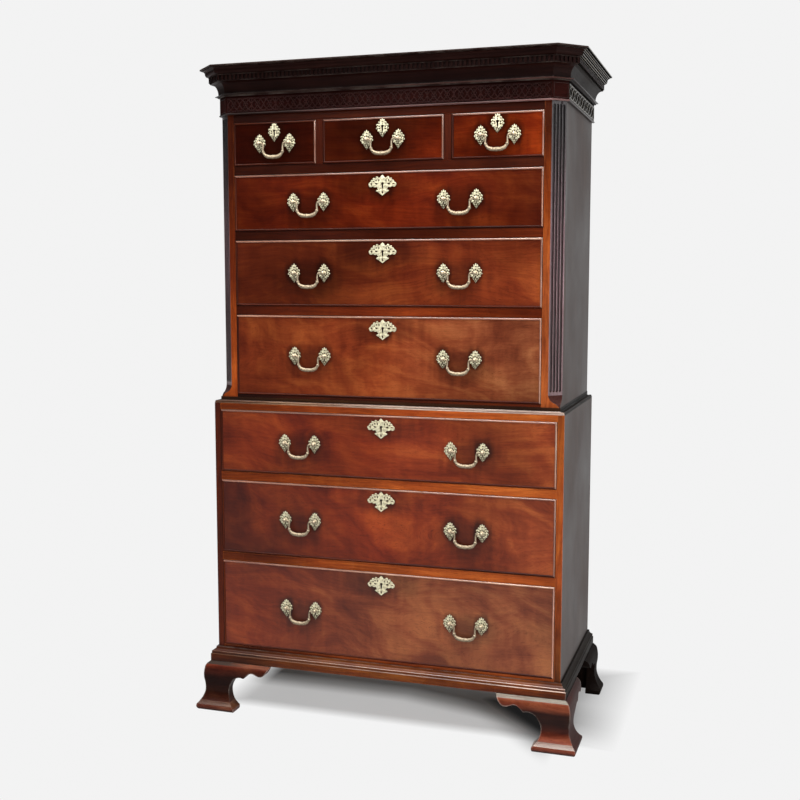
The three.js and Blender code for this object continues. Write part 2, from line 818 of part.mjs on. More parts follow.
function upper_case() {
  const group = new THREE.Group();
  const width = 2 * upper_opening_half;
  const stops = stops_across(0, width);
  const length = box_length(upper_depth);
  const [low, middle, high] = upper_openings;
  const side_front = upper_front_y + post_depth + joint_gap;
  const small_middle_width = width - 2 * (small_side_width + partition_thick);
  const small_side_x = upper_opening_half - small_side_width / 2;
  const small_stops = [
    ...stops_across(-small_side_x, small_side_width),
    ...stops_across(0, small_middle_width),
    ...stops_across(small_side_x, small_side_width),
  ];
  place_pair(group, 'upper_side', side_board(upper_half, side_front, upper_base_z, case_top_z), case_wood);
  place_pair(group, 'upper_corner', corner_post(), case_wood);
  place(group, 'upper_back', back_board(upper_half, upper_base_z, case_top_z), back_wood);
  place(group, 'upper_floor', upper_deck(low.z, upper_floor_rail, stops), case_wood);
  place(group, 'upper_divider_1', upper_deck(middle.z, upper_rail, stops), case_wood);
  place(group, 'upper_divider_2', upper_deck(high.z, upper_rail, stops), case_wood);
  place(group, 'upper_divider_3', upper_deck(small_floor_z, upper_rail, small_stops), case_wood);
  const partition_x = small_middle_width / 2 + partition_thick / 2;
  place(group, 'partition_left', partition(), case_wood, [-partition_x, 0, 0]);
  place(group, 'partition_right', partition(), case_wood, [partition_x, 0, 0]);
  place(group, 'upper_top', upper_top_board(), case_wood);
  place(group, 'frieze', frieze(), dark_wood);
  place(group, 'cornice', cornice(), dark_wood);
  upper_openings.forEach(({ z, height }, i) => {
    place_drawer(group, `upper_drawer_${i + 1}`, {
      centre: 0, front_y: upper_front_y, z, width, height, length,
      handles: [-upper_handle_x, upper_handle_x], small: false,
    });
  });
  const row = [
    ['small_drawer_left', -small_side_x, small_side_width],
    ['small_drawer_middle', 0, small_middle_width],
    ['small_drawer_right', small_side_x, small_side_width],
  ];
  for (const [name, centre, drawer_width] of row) {
    place_drawer(group, name, {
      centre, front_y: upper_front_y, z: small_floor_z, width: drawer_width, height: small_drawer_height,
      length, handles: [0], small: true,
    });
  }
  return group;
}

const chest = new THREE.Group();
chest.add(lower_case(), upper_case());

export default chest;
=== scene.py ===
"""Mahogany chest on chest: the looks of each piece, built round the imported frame."""

import json
import math

import bmesh
import bpy
from mathutils import Matrix, Vector

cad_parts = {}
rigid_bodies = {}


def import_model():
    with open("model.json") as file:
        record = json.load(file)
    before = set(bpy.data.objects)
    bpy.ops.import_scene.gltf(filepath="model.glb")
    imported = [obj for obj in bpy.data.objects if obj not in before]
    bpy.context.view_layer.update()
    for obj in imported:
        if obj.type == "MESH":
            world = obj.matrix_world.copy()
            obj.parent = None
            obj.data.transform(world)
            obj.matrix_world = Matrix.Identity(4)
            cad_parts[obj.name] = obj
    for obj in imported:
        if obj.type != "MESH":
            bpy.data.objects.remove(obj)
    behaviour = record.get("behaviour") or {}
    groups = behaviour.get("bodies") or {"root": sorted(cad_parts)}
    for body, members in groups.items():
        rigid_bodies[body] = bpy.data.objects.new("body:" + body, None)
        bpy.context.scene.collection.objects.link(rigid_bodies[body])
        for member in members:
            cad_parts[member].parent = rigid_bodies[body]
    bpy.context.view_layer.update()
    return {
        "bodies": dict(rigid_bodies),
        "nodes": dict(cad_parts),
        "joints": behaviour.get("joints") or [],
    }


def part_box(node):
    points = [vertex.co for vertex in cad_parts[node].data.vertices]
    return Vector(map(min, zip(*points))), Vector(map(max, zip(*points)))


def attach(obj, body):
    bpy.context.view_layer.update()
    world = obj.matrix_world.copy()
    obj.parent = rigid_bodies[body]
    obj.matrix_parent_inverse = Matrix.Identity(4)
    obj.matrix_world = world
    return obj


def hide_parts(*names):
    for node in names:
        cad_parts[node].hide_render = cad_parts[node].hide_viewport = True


bl_info = {
    "name": "Chest on chest",
    "version": (1, 0, 0),
    "blender": (4, 5, 0),
    "location": "View3D > Sidebar > Chest",
    "description": "Builds the visible pieces of a mahogany chest on chest round its frame",
    "category": "Object",
}

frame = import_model()

# Planes and heights taken from the frame
CASE = "case"
LOWER_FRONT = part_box("lower_side_left")[0][1]
UPPER_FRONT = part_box("upper_corner_left")[0][1]
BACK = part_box("upper_back")[1][1]
LOWER_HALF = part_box("lower_side_right")[1][0]
UPPER_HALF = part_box("upper_side_right")[1][0]
WAIST_Z, WAIST_TOP = (corner[2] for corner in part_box("waist_moulding"))
BASE_Z, BASE_TOP = (corner[2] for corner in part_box("base_moulding"))
FRIEZE_Z, FRIEZE_TOP = (corner[2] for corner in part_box("frieze"))
CORNICE_Z, CORNICE_TOP = (corner[2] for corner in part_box("cornice"))
FOOT_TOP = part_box("front_foot_right")[1][2]
FOOT_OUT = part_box("front_foot_right")[1][0] - LOWER_HALF
JOINT_GAP = 0.0003
CANT_LEG = 0.0325
# Half width, front plane and corner cut of each plan that mouldings run round
CANTED_PLAN = (UPPER_HALF, UPPER_FRONT, CANT_LEG)
WAIST_PLAN = (UPPER_HALF, UPPER_FRONT, 0)
LOWER_PLAN = (LOWER_HALF, LOWER_FRONT, 0)

DRAWERS = [name for name in frame["bodies"] if "drawer" in name and "bail" not in name]
BAILS = {joint["child"]: joint for joint in frame["joints"] if joint["type"] == "hinge"}


# Properties

def measure(name, about, metres):
    return bpy.props.FloatProperty(name=name, description=about, default=metres, unit="LENGTH")


def paint(name, about, tone):
    return bpy.props.FloatVectorProperty(name=name, description=about, default=tone, subtype="COLOR")


class ChestSizes(bpy.types.PropertyGroup):
    """Small sizes that the frame leaves to the visible pieces."""
    bead_width: measure("Bead width", "Width of the cock bead round a drawer front", 0.0048)
    bead_proud: measure("Bead height", "How far the cock bead stands out from the drawer front", 0.0026)
    post_spacing: measure("Post spacing", "Distance between the two posts of a handle", 0.090)
    plate_width: measure("Plate width", "Width of a pierced back plate", 0.040)
    plate_height: measure("Plate height", "Height of a pierced back plate", 0.052)
    plate_thick: measure("Plate thickness", "Thickness of the pierced brass", 0.0018)
    escutcheon_width: measure("Escutcheon width", "Width of a long drawer's key plate", 0.079)
    escutcheon_height: measure("Escutcheon height", "Height of a long drawer's key plate", 0.056)
    neck_radius: measure("Bail neck", "Radius of a bail at its neck", 0.0024)
    dentil_pitch: measure("Dentil pitch", "Distance from one dentil to the next", 0.0122)
    edge_round: measure("Edge rounding", "Softening of the arrises of the boards", 0.0009)


class ChestColours(bpy.types.PropertyGroup):
    """Main colours of the woods, the metal and the floor."""
    rail: paint("Rails", "Middle tone of the rails and stiles", (0.400, 0.066, 0.009))
    veneer: paint("Drawer veneer", "Middle tone of the drawer fronts", (0.215, 0.032, 0.0065))
    side: paint("Sides", "Middle tone of the case sides", (0.040, 0.020, 0.014))
    cornice: paint("Cornice", "Middle tone of the cornice and the frieze", (0.014, 0.0035, 0.0024))
    corner: paint("Corner posts", "Middle tone of the fluted faces", (0.034, 0.014, 0.015))
    foot: paint("Feet", "Middle tone of the feet", (0.095, 0.019, 0.0085))
    oak: paint("Drawer linings", "Middle tone of the oak linings", (0.360, 0.220, 0.115))
    pine: paint("Back boards", "Middle tone of the unpolished pine", (0.240, 0.140, 0.075))
    brass: paint("Brass", "Colour of the cast brass", (0.62, 0.56, 0.385))
    floor: paint("Floor", "Colour of the plain floor", (0.88, 0.88, 0.88))


# Node graphs

def blank(name):
    """A material with only a shader and its output, or the one of that name if it is there already."""
    if name in bpy.data.materials:
        return bpy.data.materials[name], None, None
    material = bpy.data.materials.new(name)
    material.use_nodes = True
    tree = material.node_tree
    tree.nodes.clear()
    shader = tree.nodes.new("ShaderNodeBsdfPrincipled")
    output = tree.nodes.new("ShaderNodeOutputMaterial")
    tree.links.new(shader.outputs[0], output.inputs[0])
    return material, tree, shader


def plug(tree, socket, value):
    if isinstance(value, bpy.types.NodeSocket):
        tree.links.new(value, socket)
    else:
        socket.default_value = value


def add(tree, kind, settings=None, **inputs):
    node = tree.nodes.new("ShaderNode" + kind)
    for key, value in (settings or {}).items():
        setattr(node, key, value)
    for key, value in inputs.items():
        plug(tree, node.inputs[key.replace("_", " ")], value)
    return node


def maths(tree, operation, first, second=0.0, clamp=False):
    node = add(tree, "Math", {"operation": operation, "use_clamp": clamp})
    plug(tree, node.inputs[0], first)
    plug(tree, node.inputs[1], second)
    return node.outputs[0]


def times(tree, first, second):
    return maths(tree, "MULTIPLY", first, second)


def plus(tree, *values):
    total = values[0]
    for value in values[1:]:
        total = maths(tree, "ADD", total, value)
    return total


def largest(tree, *values):
    result = values[0]
    for value in values[1:]:
        result = maths(tree, "MAXIMUM", result, value)
    return result


def vectors(tree, operation, first, second):
    node = add(tree, "VectorMath", {"operation": operation})
    plug(tree, node.inputs[0], first)
    plug(tree, node.inputs[1], second)
    return node.outputs[0]


def mix(tree, share, first, second, blend="MIX"):
    node = add(tree, "Mix", {"data_type": "RGBA", "blend_type": blend})
    for socket, value in ((0, share), (6, first), (7, second)):
        plug(tree, node.inputs[socket], value)
    return node.outputs[2]


def tint(tree, body, share):
    return mix(tree, 1.0, body, share, "MULTIPLY")


def noise(tree, vector, scale, detail=3.0, rough=0.5, twist=0.0):
    node = add(tree, "TexNoise", None, Vector=vector, Scale=scale, Detail=detail, Roughness=rough,
               Distortion=twist)
    return node.outputs["Fac"]


def stretched(tree, vector, scale, detail, rough=0.5, twist=0.0):
    """Noise in a space stretched by a scale for each axis."""
    return noise(tree, vectors(tree, "MULTIPLY", vector, scale), 1.0, detail, rough, twist)


def place_of(tree, output="Object"):
    return add(tree, "TexCoord").outputs[output]


def axes_of(tree, output="Object"):
    return add(tree, "SeparateXYZ", None, Vector=place_of(tree, output)).outputs


def ramp(tree, value, stops):
    node = tree.nodes.new("ShaderNodeValToRGB")
    plug(tree, node.inputs[0], value)
    elements = node.color_ramp.elements
    while len(elements) < len(stops):
        elements.new(0.5)
    for element, (place, colour) in zip(elements, stops):
        element.position = place
        element.color = colour
    return node.outputs[0]


def between(tree, value, low, high, out_low=0.0, out_high=1.0):
    node = add(tree, "MapRange", {"clamp": True}, Value=value)
    for socket, number in zip(node.inputs[1:5], (low, high, out_low, out_high)):
        socket.default_value = number
    return node.outputs[0]


def shade(colour, share):
    return (*(channel * share for channel in colour), 1.0)


def tinted(colour, red, rest):
    """A wood tone whose red and whose green and blue change by shares of their own."""
    return (*(min(share * channel, 1.0) for share, channel in zip((red, rest, rest), colour)), 1.0)


def crease(tree, reach, inside=False):
    """1 in the open and lower in creases, or near an outer edge when it looks inside."""
    node = tree.nodes.new("ShaderNodeAmbientOcclusion")
    node.samples = 6
    node.inside = inside
    node.inputs["Distance"].default_value = reach
    return node.outputs["AO"]


QUARTER = math.radians(90)
GRAIN_TURNS = {"X": (0.0, 0.0, 0.0), "Y": (0.0, 0.0, QUARTER), "Z": (0.0, QUARTER, 0.0)}
PIECE_SHIFT = (3.1, 7.7, 5.3)
# How finely each noise of the wood runs along and across the grain
BROAD, FLAME, BANDS = (1.4, 3.2, 3.2), (2.6, 8.0, 8.0), (1.1, 19.0, 19.0)
FIBRE, CURL, PORES = (5.0, 190.0, 190.0), (46.0, 6.0, 6.0), (60.0, 1500.0, 1500.0)
FLAME_LEAN = math.radians(24)
CLOUD_SCALE, PATCH_SCALE = 2.8, 23.0
# Reach of the painted shade in creases, and of the pale edges that are partly rubbed and partly a painted
# highlight
CREASE_SHADE_REACH, PALE_EDGE_REACH = 0.014, 0.004
# How dark the painted shadow and dirt spots, the pores and the painted crease shade make the wood
SHADOW_AND_DIRT_DARK, PORE_DARK, CREASE_SHADE_DARK = 0.07, 0.16, 0.08
RUBBED_ROUGHER = 0.22
COAT_ROUGHNESS = 0.14


def grain_space(tree, along, mapped):
    """Coordinates in metres whose first axis runs along the grain, shifted for each piece."""
    source = place_of(tree, "UV" if mapped else "Object")
    turned = add(tree, "Mapping", None, Vector=source, Rotation=GRAIN_TURNS[along]).outputs[0]
    chance = add(tree, "ObjectInfo").outputs["Random"]
    return vectors(tree, "ADD", turned, vectors(tree, "MULTIPLY", PIECE_SHIFT, chance))


def wood(name, colour, along="X", mapped=False, figure=0.5, gloss=0.30, polish=0.22, coat=0.0, contrast=1.0,
         wear=0.0, worn=None, crease_shade=0.5, pore=1.0, painted_light=None, shadow_and_dirt_spots=()):
    """Polished wood: wandering fibres, broad figure, pores, pale edges that are partly rubbed and partly a
    painted highlight, painted shade in the creases, and painted light and shadow where the caller gives them.
    """
    material, tree, shader = blank(name)
    if tree is None:
        return material
    place = grain_space(tree, along, mapped)
    broad = vectors(tree, "MULTIPLY", place, BROAD)
    wander = add(tree, "TexNoise", None, Vector=broad, Scale=1.6, Detail=2.0).outputs["Color"]
    sway = 0.16 * figure + 0.03
    bent = vectors(tree, "ADD", place, vectors(tree, "MULTIPLY", wander, (0.0, sway, sway)))
    slanted = add(tree, "Mapping", None, Vector=bent, Rotation=(0.0, -FLAME_LEAN, FLAME_LEAN)).outputs[0]
    fibre = stretched(tree, bent, FIBRE, 5.0, 0.62)
    bands = stretched(tree, bent, BANDS, 3.0, 0.55, 0.7)
    flame = stretched(tree, slanted, FLAME, 4.0, 0.60, 1.5 * figure)
    curl = stretched(tree, bent, CURL, 2.0)
    clouds = noise(tree, place, CLOUD_SCALE, 3.0, 0.55)
    level = plus(tree, times(tree, bands, 0.52 - 0.30 * figure), times(tree, flame, 0.18 + 0.46 * figure),
                 times(tree, fibre, 0.24 - 0.16 * figure), times(tree, curl, 0.05 + 0.06 * figure))
    spread = 0.17 / contrast
    centre = 0.485 - 0.01 * figure
    body = ramp(tree, level, [
        (centre - 1.3 * spread, tinted(colour, 0.30, 0.20)),
        (centre - 0.45 * spread, tinted(colour, 0.70, 0.58)),
        (centre + 0.25 * spread, shade(colour, 1.05)),
        (centre + 1.25 * spread, tinted(colour, 1.6, 2.2)),
    ])
    body = tint(tree, body, between(tree, fibre, 0.30, 0.62, 0.90 - 0.16 * (1.0 - figure), 1.06))
    body = tint(tree, body, between(tree, clouds, 0.32, 0.68, 0.62, 1.26))
    # Painted light and shade: the wood is darker where the case gets less light, and greyer where a painted
    # reflection lies
    if painted_light:
        body = tint(tree, body, painted_light_tone(tree, clouds, *painted_light))
    # Painted shadow under the bails, and painted shade with dirt round the plates
    if shadow_and_dirt_spots:
        body = mix(tree, shadow_and_dirt_share(tree, clouds, curl, shadow_and_dirt_spots), body, shade(colour, SHADOW_AND_DIRT_DARK))
    pitted = between(tree, stretched(tree, bent, PORES, 1.0), 0.60, 0.70, 0.0, 0.55 * pore)
    body = mix(tree, pitted, body, shade(colour, PORE_DARK))
    # Painted shade: ambient occlusion darkens the wood in creases, in the gaps round the drawers and round
    # raised pieces
    if crease_shade:
        dust = between(tree, crease(tree, CREASE_SHADE_REACH), 0.40, 0.97, crease_shade, 0.0)
        body = mix(tree, dust, body, shade(colour, CREASE_SHADE_DARK))
    rough = between(tree, clouds, 0.3, 0.7, gloss * 0.82, gloss * 1.25)
    # Pale edges: partly rubbed wood, partly a painted highlight along the convex arrises
    if wear:
        rubbed = between(tree, crease(tree, PALE_EDGE_REACH, True), 0.5, 0.86, wear, 0.0)
        patches = between(tree, noise(tree, place, PATCH_SCALE, 4.0, 0.6), 0.40, 0.62, 0.1, 1.0)
        rubbed = times(tree, rubbed, patches)
        body = mix(tree, rubbed, body, (*worn, 1.0) if worn else tinted(colour, 1.7, 2.4))
        rough = plus(tree, rough, times(tree, rubbed, RUBBED_ROUGHER))
    plug(tree, shader.inputs["Base Color"], body)
    plug(tree, shader.inputs["Roughness"], rough)
    shader.inputs["Coat Weight"].default_value = coat
    shader.inputs["Coat Roughness"].default_value = COAT_ROUGHNESS
    shader.inputs["Specular IOR Level"].default_value = polish
    relief = maths(tree, "SUBTRACT", times(tree, fibre, 0.5), times(tree, pitted, 1.2))
    bump = add(tree, "Bump", None, Height=relief, Strength=0.10 + 0.10 * (1.0 - coat), Distance=0.0004)
    plug(tree, shader.inputs["Normal"], bump.outputs[0])
    return material


def painted_light_tone(tree, clouds, axis, stops, wander):
    """Painted light and shade along an axis of the case, from (place, tone, haze) stops whose places wander
    with the clouds; a haze above 1 greys the wood as a painted reflection.
    """
    start, end = stops[0][0], stops[-1][0]
    swing = times(tree, maths(tree, "SUBTRACT", clouds, 0.5), wander)
    across = between(tree, plus(tree, axes_of(tree)[axis], swing), start, end)
    return ramp(tree, across, [
        ((place - start) / (end - start), (tone, tone * haze, tone * haze * haze, 1.0))
        for place, tone, haze in stops])


def shadow_and_dirt_share(tree, clouds, curl, shadow_and_dirt_spots):
    """Share of painted shadow and dirt from spots, alike on both sides of x = 0.

    A spot is (x, z, half width, half height, strength).
    """
    axes = axes_of(tree)
    side = maths(tree, "ABSOLUTE", axes["X"])
    ragged = times(tree, maths(tree, "SUBTRACT", plus(tree, clouds, curl), 1.0), 0.9)
    total = 0.0
    for x, z, wide, tall, strength in shadow_and_dirt_spots:
        across = maths(tree, "DIVIDE", maths(tree, "SUBTRACT", side, x), wide)
        up = maths(tree, "DIVIDE", maths(tree, "SUBTRACT", axes["Z"], z), tall)
        away = maths(tree, "SQRT", plus(tree, times(tree, across, across), times(tree, up, up)))
        away = plus(tree, away, ragged)
        total = largest(tree, total, between(tree, away, 0.55, 1.2, strength, 0.0))
    return total


WOODS_MEET = 0.0002  # half the width in which one wood turns into the other


def two_woods(name, show, hidden, edge_y):
    """Polished show wood in front of edge_y, and the plain wood of the inside behind it."""
    material, tree, _ = blank(name)
    if tree is None:
        return material
    tree.nodes.clear()
    behind = between(tree, axes_of(tree)["Y"], edge_y - WOODS_MEET, edge_y + WOODS_MEET)
    shaders = []
    for source in (show, hidden):
        copies = {}
        for node in source.node_tree.nodes:
            if node.bl_idname != "ShaderNodeOutputMaterial":
                copies[node] = tree.nodes.new(node.bl_idname)
                copy_settings(node, copies[node])
        for link in source.node_tree.links:
            if link.to_node in copies and link.from_node in copies:
                start = copies[link.from_node].outputs[list(link.from_node.outputs).index(link.from_socket)]
                end = copies[link.to_node].inputs[list(link.to_node.inputs).index(link.to_socket)]
                tree.links.new(start, end)
        shaders += [twin for node, twin in copies.items() if node.bl_idname == "ShaderNodeBsdfPrincipled"]
    join_shaders(tree, behind, *shaders)
    return material


def copy_settings(node, twin):
    for key in ("operation", "use_clamp", "data_type", "blend_type", "samples", "inside", "clamp"):
        if hasattr(node, key):
            setattr(twin, key, getattr(node, key))
    if node.bl_idname == "ShaderNodeValToRGB":
        elements = twin.color_ramp.elements
        while len(elements) < len(node.color_ramp.elements):
            elements.new(0.5)
        for old, new in zip(node.color_ramp.elements, elements):
            new.position = old.position
            new.color = old.color
    for old, new in zip(node.inputs, twin.inputs):
        if hasattr(old, "default_value") and hasattr(new, "default_value"):
            new.default_value = old.default_value


TARNISH, TARNISH_REACH = 0.8, 0.004
TARNISH_TONE = (0.085, 0.058, 0.022, 1.0)
CLOUDS_ON_BRASS, GRIT_ON_BRASS, CLOUDS_ON_IRON = 260.0, 1500.0, 120.0


def brass(name, colour, metal, gloss):
    """Cast brass, bright where it is rubbed and dark in its piercings."""
    material, tree, shader = blank(name)
    if tree is None:
        return material
    cloud = noise(tree, place_of(tree), CLOUDS_ON_BRASS, 4.0, 0.6)
    grit = noise(tree, place_of(tree), GRIT_ON_BRASS, 3.0, 0.6)
    dull = tuple(share * channel for share, channel in zip((0.42, 0.36, 0.28), colour))
    tone = ramp(tree, cloud, [(0.36, (*dull, 1.0)), (0.47, shade(colour, 0.86)), (0.60, shade(colour, 1.18))])
    hollow = between(tree, crease(tree, TARNISH_REACH), 0.35, 0.93, TARNISH, 0.0)
    rough = plus(tree, between(tree, cloud, 0.3, 0.7, gloss, 1.5 * gloss), times(tree, hollow, 0.3))
    height = plus(tree, grit, times(tree, cloud, 2.0))
    cast_metal(tree, shader, mix(tree, hollow, tone, TARNISH_TONE), metal, rough, height, 0.22)
    return material


def iron(name):
    """Dark lock iron with a brownish bloom."""
    material, tree, shader = blank(name)
    if tree is None:
        return material
    cloud = noise(tree, place_of(tree), CLOUDS_ON_IRON, 5.0, 0.65)
    tone = ramp(tree, cloud, [(0.35, (0.045, 0.040, 0.036, 1.0)), (0.6, (0.13, 0.095, 0.07, 1.0))])
    cast_metal(tree, shader, tone, 0.8, between(tree, cloud, 0.3, 0.7, 0.38, 0.6), cloud, 0.2)
    return material


def cast_metal(tree, shader, tone, metal, rough, height, strength):
    plug(tree, shader.inputs["Base Color"], tone)
    plug(tree, shader.inputs["Roughness"], rough)
    shader.inputs["Metallic"].default_value = metal
    bump = add(tree, "Bump", None, Height=height, Strength=strength, Distance=0.0003)
    plug(tree, shader.inputs["Normal"], bump.outputs[0])


# Figure and polish of each drawer's veneer, then its tone and its haze at the left, middle and right, which
# paint light and shade across the drawer and a greyish painted reflection where the haze is high
DRAWER_TONES = {
    "lower_1": (0.9, 0.28, (0.76, 0.71, 0.85), (0.82, 1.38, 1.55)),
    "lower_2": (1.0, 0.22, (0.30, 1.15, 1.01), (0.68, 0.78, 1.14)),
    "lower_3": (0.8, 0.18, (0.70, 0.72, 1.08), (0.80, 0.70, 1.1)),
    "upper_1": (1.0, 0.10, (0.72, 1.12, 1.05), (1.0, 1.1, 1.75)),
    "upper_2": (0.7, 0.10, (0.50, 0.80, 0.90), (0.9, 0.95, 1.0)),
    "upper_3": (0.8, 0.06, (0.41, 0.88, 0.50), (0.65, 0.65, 0.8)),
    "small": (0.6, 0.03, (0.13, 0.30, 0.90), (0.5, 0.7, 0.6)),
}
PAINTED_LIGHT_PLACES = (-0.38, 0.0, 0.38)
# Painted light and shade along the case, as tones and hazes: up the stiles, the corner posts and the feet,
# and from left to right; the bead and astragal tones are painted highlights to the right
STILE_TONES = [(0.20, 0.21, 1.3), (0.32, 0.36, 1.2), (0.44, 1.0, 1.15), (0.72, 0.72, 1.1),
               (0.85, 0.62, 1.1), (1.0, 1.02, 1.45), (1.2, 1.02, 1.5), (1.42, 0.80, 1.0), (1.62, 0.18, 0.85)]
LEFT_STILE_TONES = [(0.85, 0.48, 1.0), (1.0, 0.85, 1.0), (1.12, 0.75, 1.05), (1.32, 0.26, 0.72),
                    (1.62, 0.12, 0.7)]
FOOT_TONES = [(0.0, 2.2, 1.2), (0.018, 2.0, 1.15), (0.032, 2.4, 1.15), (0.042, 1.5, 1.05),
              (0.054, 0.45, 0.8), (0.075, 0.13, 0.8), (0.103, 0.17, 0.8), (0.116, 1.2, 0.9),
              (0.135, 2.0, 1.0), (0.155, 1.8, 1.05)]
RAIL_TONES = [(-0.5, 0.30, 0.95), (-0.25, 0.62, 1.0), (0.0, 1.10, 1.2), (0.20, 1.05, 1.2), (0.5, 0.85, 1.2)]
TOP_RAIL_TONES = [(-0.45, 0.35, 0.95), (0.0, 0.75, 1.0), (0.2, 0.9, 1.0), (0.42, 0.65, 1.0)]
BEAD_TONES = [(-0.5, 0.10, 0.8), (-0.30, 0.25, 0.9), (-0.10, 2.2, 1.3), (0.15, 3.2, 1.35), (0.5, 3.2, 1.35)]
ASTRAGAL_TONES = [(-0.5, 0.3, 0.8), (-0.1, 0.7, 0.9), (0.1, 2.5, 1.2), (0.5, 3.0, 1.2)]
CORNER_TONES = [(0.95, 1.2, 1.0), (1.2, 1.6, 1.0), (1.42, 2.0, 1.05), (1.56, 0.6, 1.05), (1.65, 0.2, 1.1)]
DARK_RAIL_TONES = [(-0.45, 0.38, 0.95), (-0.1, 0.75, 1.0), (0.10, 1.0, 1.0), (0.40, 1.9, 1.05)]
LOW_RAIL_TONES = [(-0.45, 0.6, 0.95), (-0.1, 1.8, 1.0), (0.10, 2.6, 1.0), (0.40, 2.2, 1.05)]
LIP_TONES = [(-0.5, 0.22, 0.50), (-0.2, 0.50, 0.66), (0.05, 0.95, 0.95), (0.25, 1.25, 1.0), (0.5, 1.25, 1.0)]
LEDGE_TONES = [(-0.55, 0.30, 0.55), (-0.30, 0.38, 0.50), (0.25, 0.95, 1.0), (0.55, 0.85, 1.0)]
SHOULDER_TONES = [(-0.55, 0.08, 0.7), (-0.46, 0.12, 0.6), (-0.40, 0.85, 0.34), (-0.30, 0.70, 0.34),
                  (0.25, 0.95, 1.0), (0.55, 0.85, 1.0)]
BASE_TONES = [(-0.5, 0.55, 0.9), (-0.42, 0.35, 1.0), (-0.3, 0.60, 1.0), (0.0, 1.05, 1.05),
              (0.25, 1.25, 0.97), (0.40, 1.0, 0.93), (0.5, 0.5, 0.95)]
LEFT_FOOT_TONES = [(0.0, 1.2, 1.2), (0.018, 1.1, 1.2), (0.030, 0.40, 1.0), (0.050, 0.15, 0.9),
                   (0.080, 0.08, 0.8), (0.100, 0.13, 0.85), (0.120, 0.60, 1.0), (0.138, 1.9, 1.0),
                   (0.155, 1.3, 1.0)]
# Pale tone of the edges, partly rubbed and partly a painted highlight
PALE_WEAR_AND_HIGHLIGHT = (0.60, 0.50, 0.43)


# Half width, half height and strength of the painted shadow under the bails, and of the painted shade and
# dirt round the key plates
BAIL_SHADOW, BAIL_SHADOW_DROP = (0.085, 0.048, 0.45), 0.018
KEY_SHADE_AND_DIRT, KEY_SHADE_AND_DIRT_RISE = (0.125, 0.042, 0.42), 0.004
LEFT_OF_MIDDLE = -0.06  # the bails beyond it are the mirror of those on the right
FITTED, RING_SHADE_AND_DIRT = 0.007, 0.85  # how far the dark ring of painted shade and dirt reaches beyond a plate, and its strength


def veneer_key(name):
    return "small" if name.startswith("small") else name.replace("drawer_", "")


def shadow_and_dirt_places(key, sizes):
    """Spots of the drawers that share a veneer: painted shade and dirt round their plates, and painted shadow
    under their bails.
    """
    spots = {}
    for name in DRAWERS:
        if veneer_key(name) != key:
            continue
        middle, width, height = key_place(name, sizes)
        spots[(round(abs(middle.x), 4), middle.z)] = ring_round(width, height)
        for joint in BAILS.values():
            x, _, z = joint["pos_m"]
            if joint["parent"] == name and x > LEFT_OF_MIDDLE:
                spots[(x, z - BAIL_SHADOW_DROP)] = BAIL_SHADOW
                spots[(0.0, middle.z + KEY_SHADE_AND_DIRT_RISE)] = KEY_SHADE_AND_DIRT
                for side in (-1, 1):
                    place = (round(abs(x + side * sizes.post_spacing / 2), 4), z)
                    spots[place] = ring_round(sizes.plate_width, sizes.plate_height)
    return [(*place, *spot) for place, spot in spots.items()]


def ring_round(width, height):
    return (0.5 * width + FITTED, 0.5 * height + FITTED, RING_SHADE_AND_DIRT)


# A darker copy of the rail wood: painted shade for the upper rails, the partitions, the left side's front
# edge and the unlit bead lengths
SHADED_RAIL = ("rail", 0.17, 0.13)
# The first gives strong painted shade in the creases; the second adds pale edges, partly rubbed and partly a
# painted highlight, to that
DIMMED = dict(crease_shade=0.9)
WEAR_HIGHLIGHT_AND_CREASE_SHADE = dict(worn=PALE_WEAR_AND_HIGHLIGHT, crease_shade=0.9)
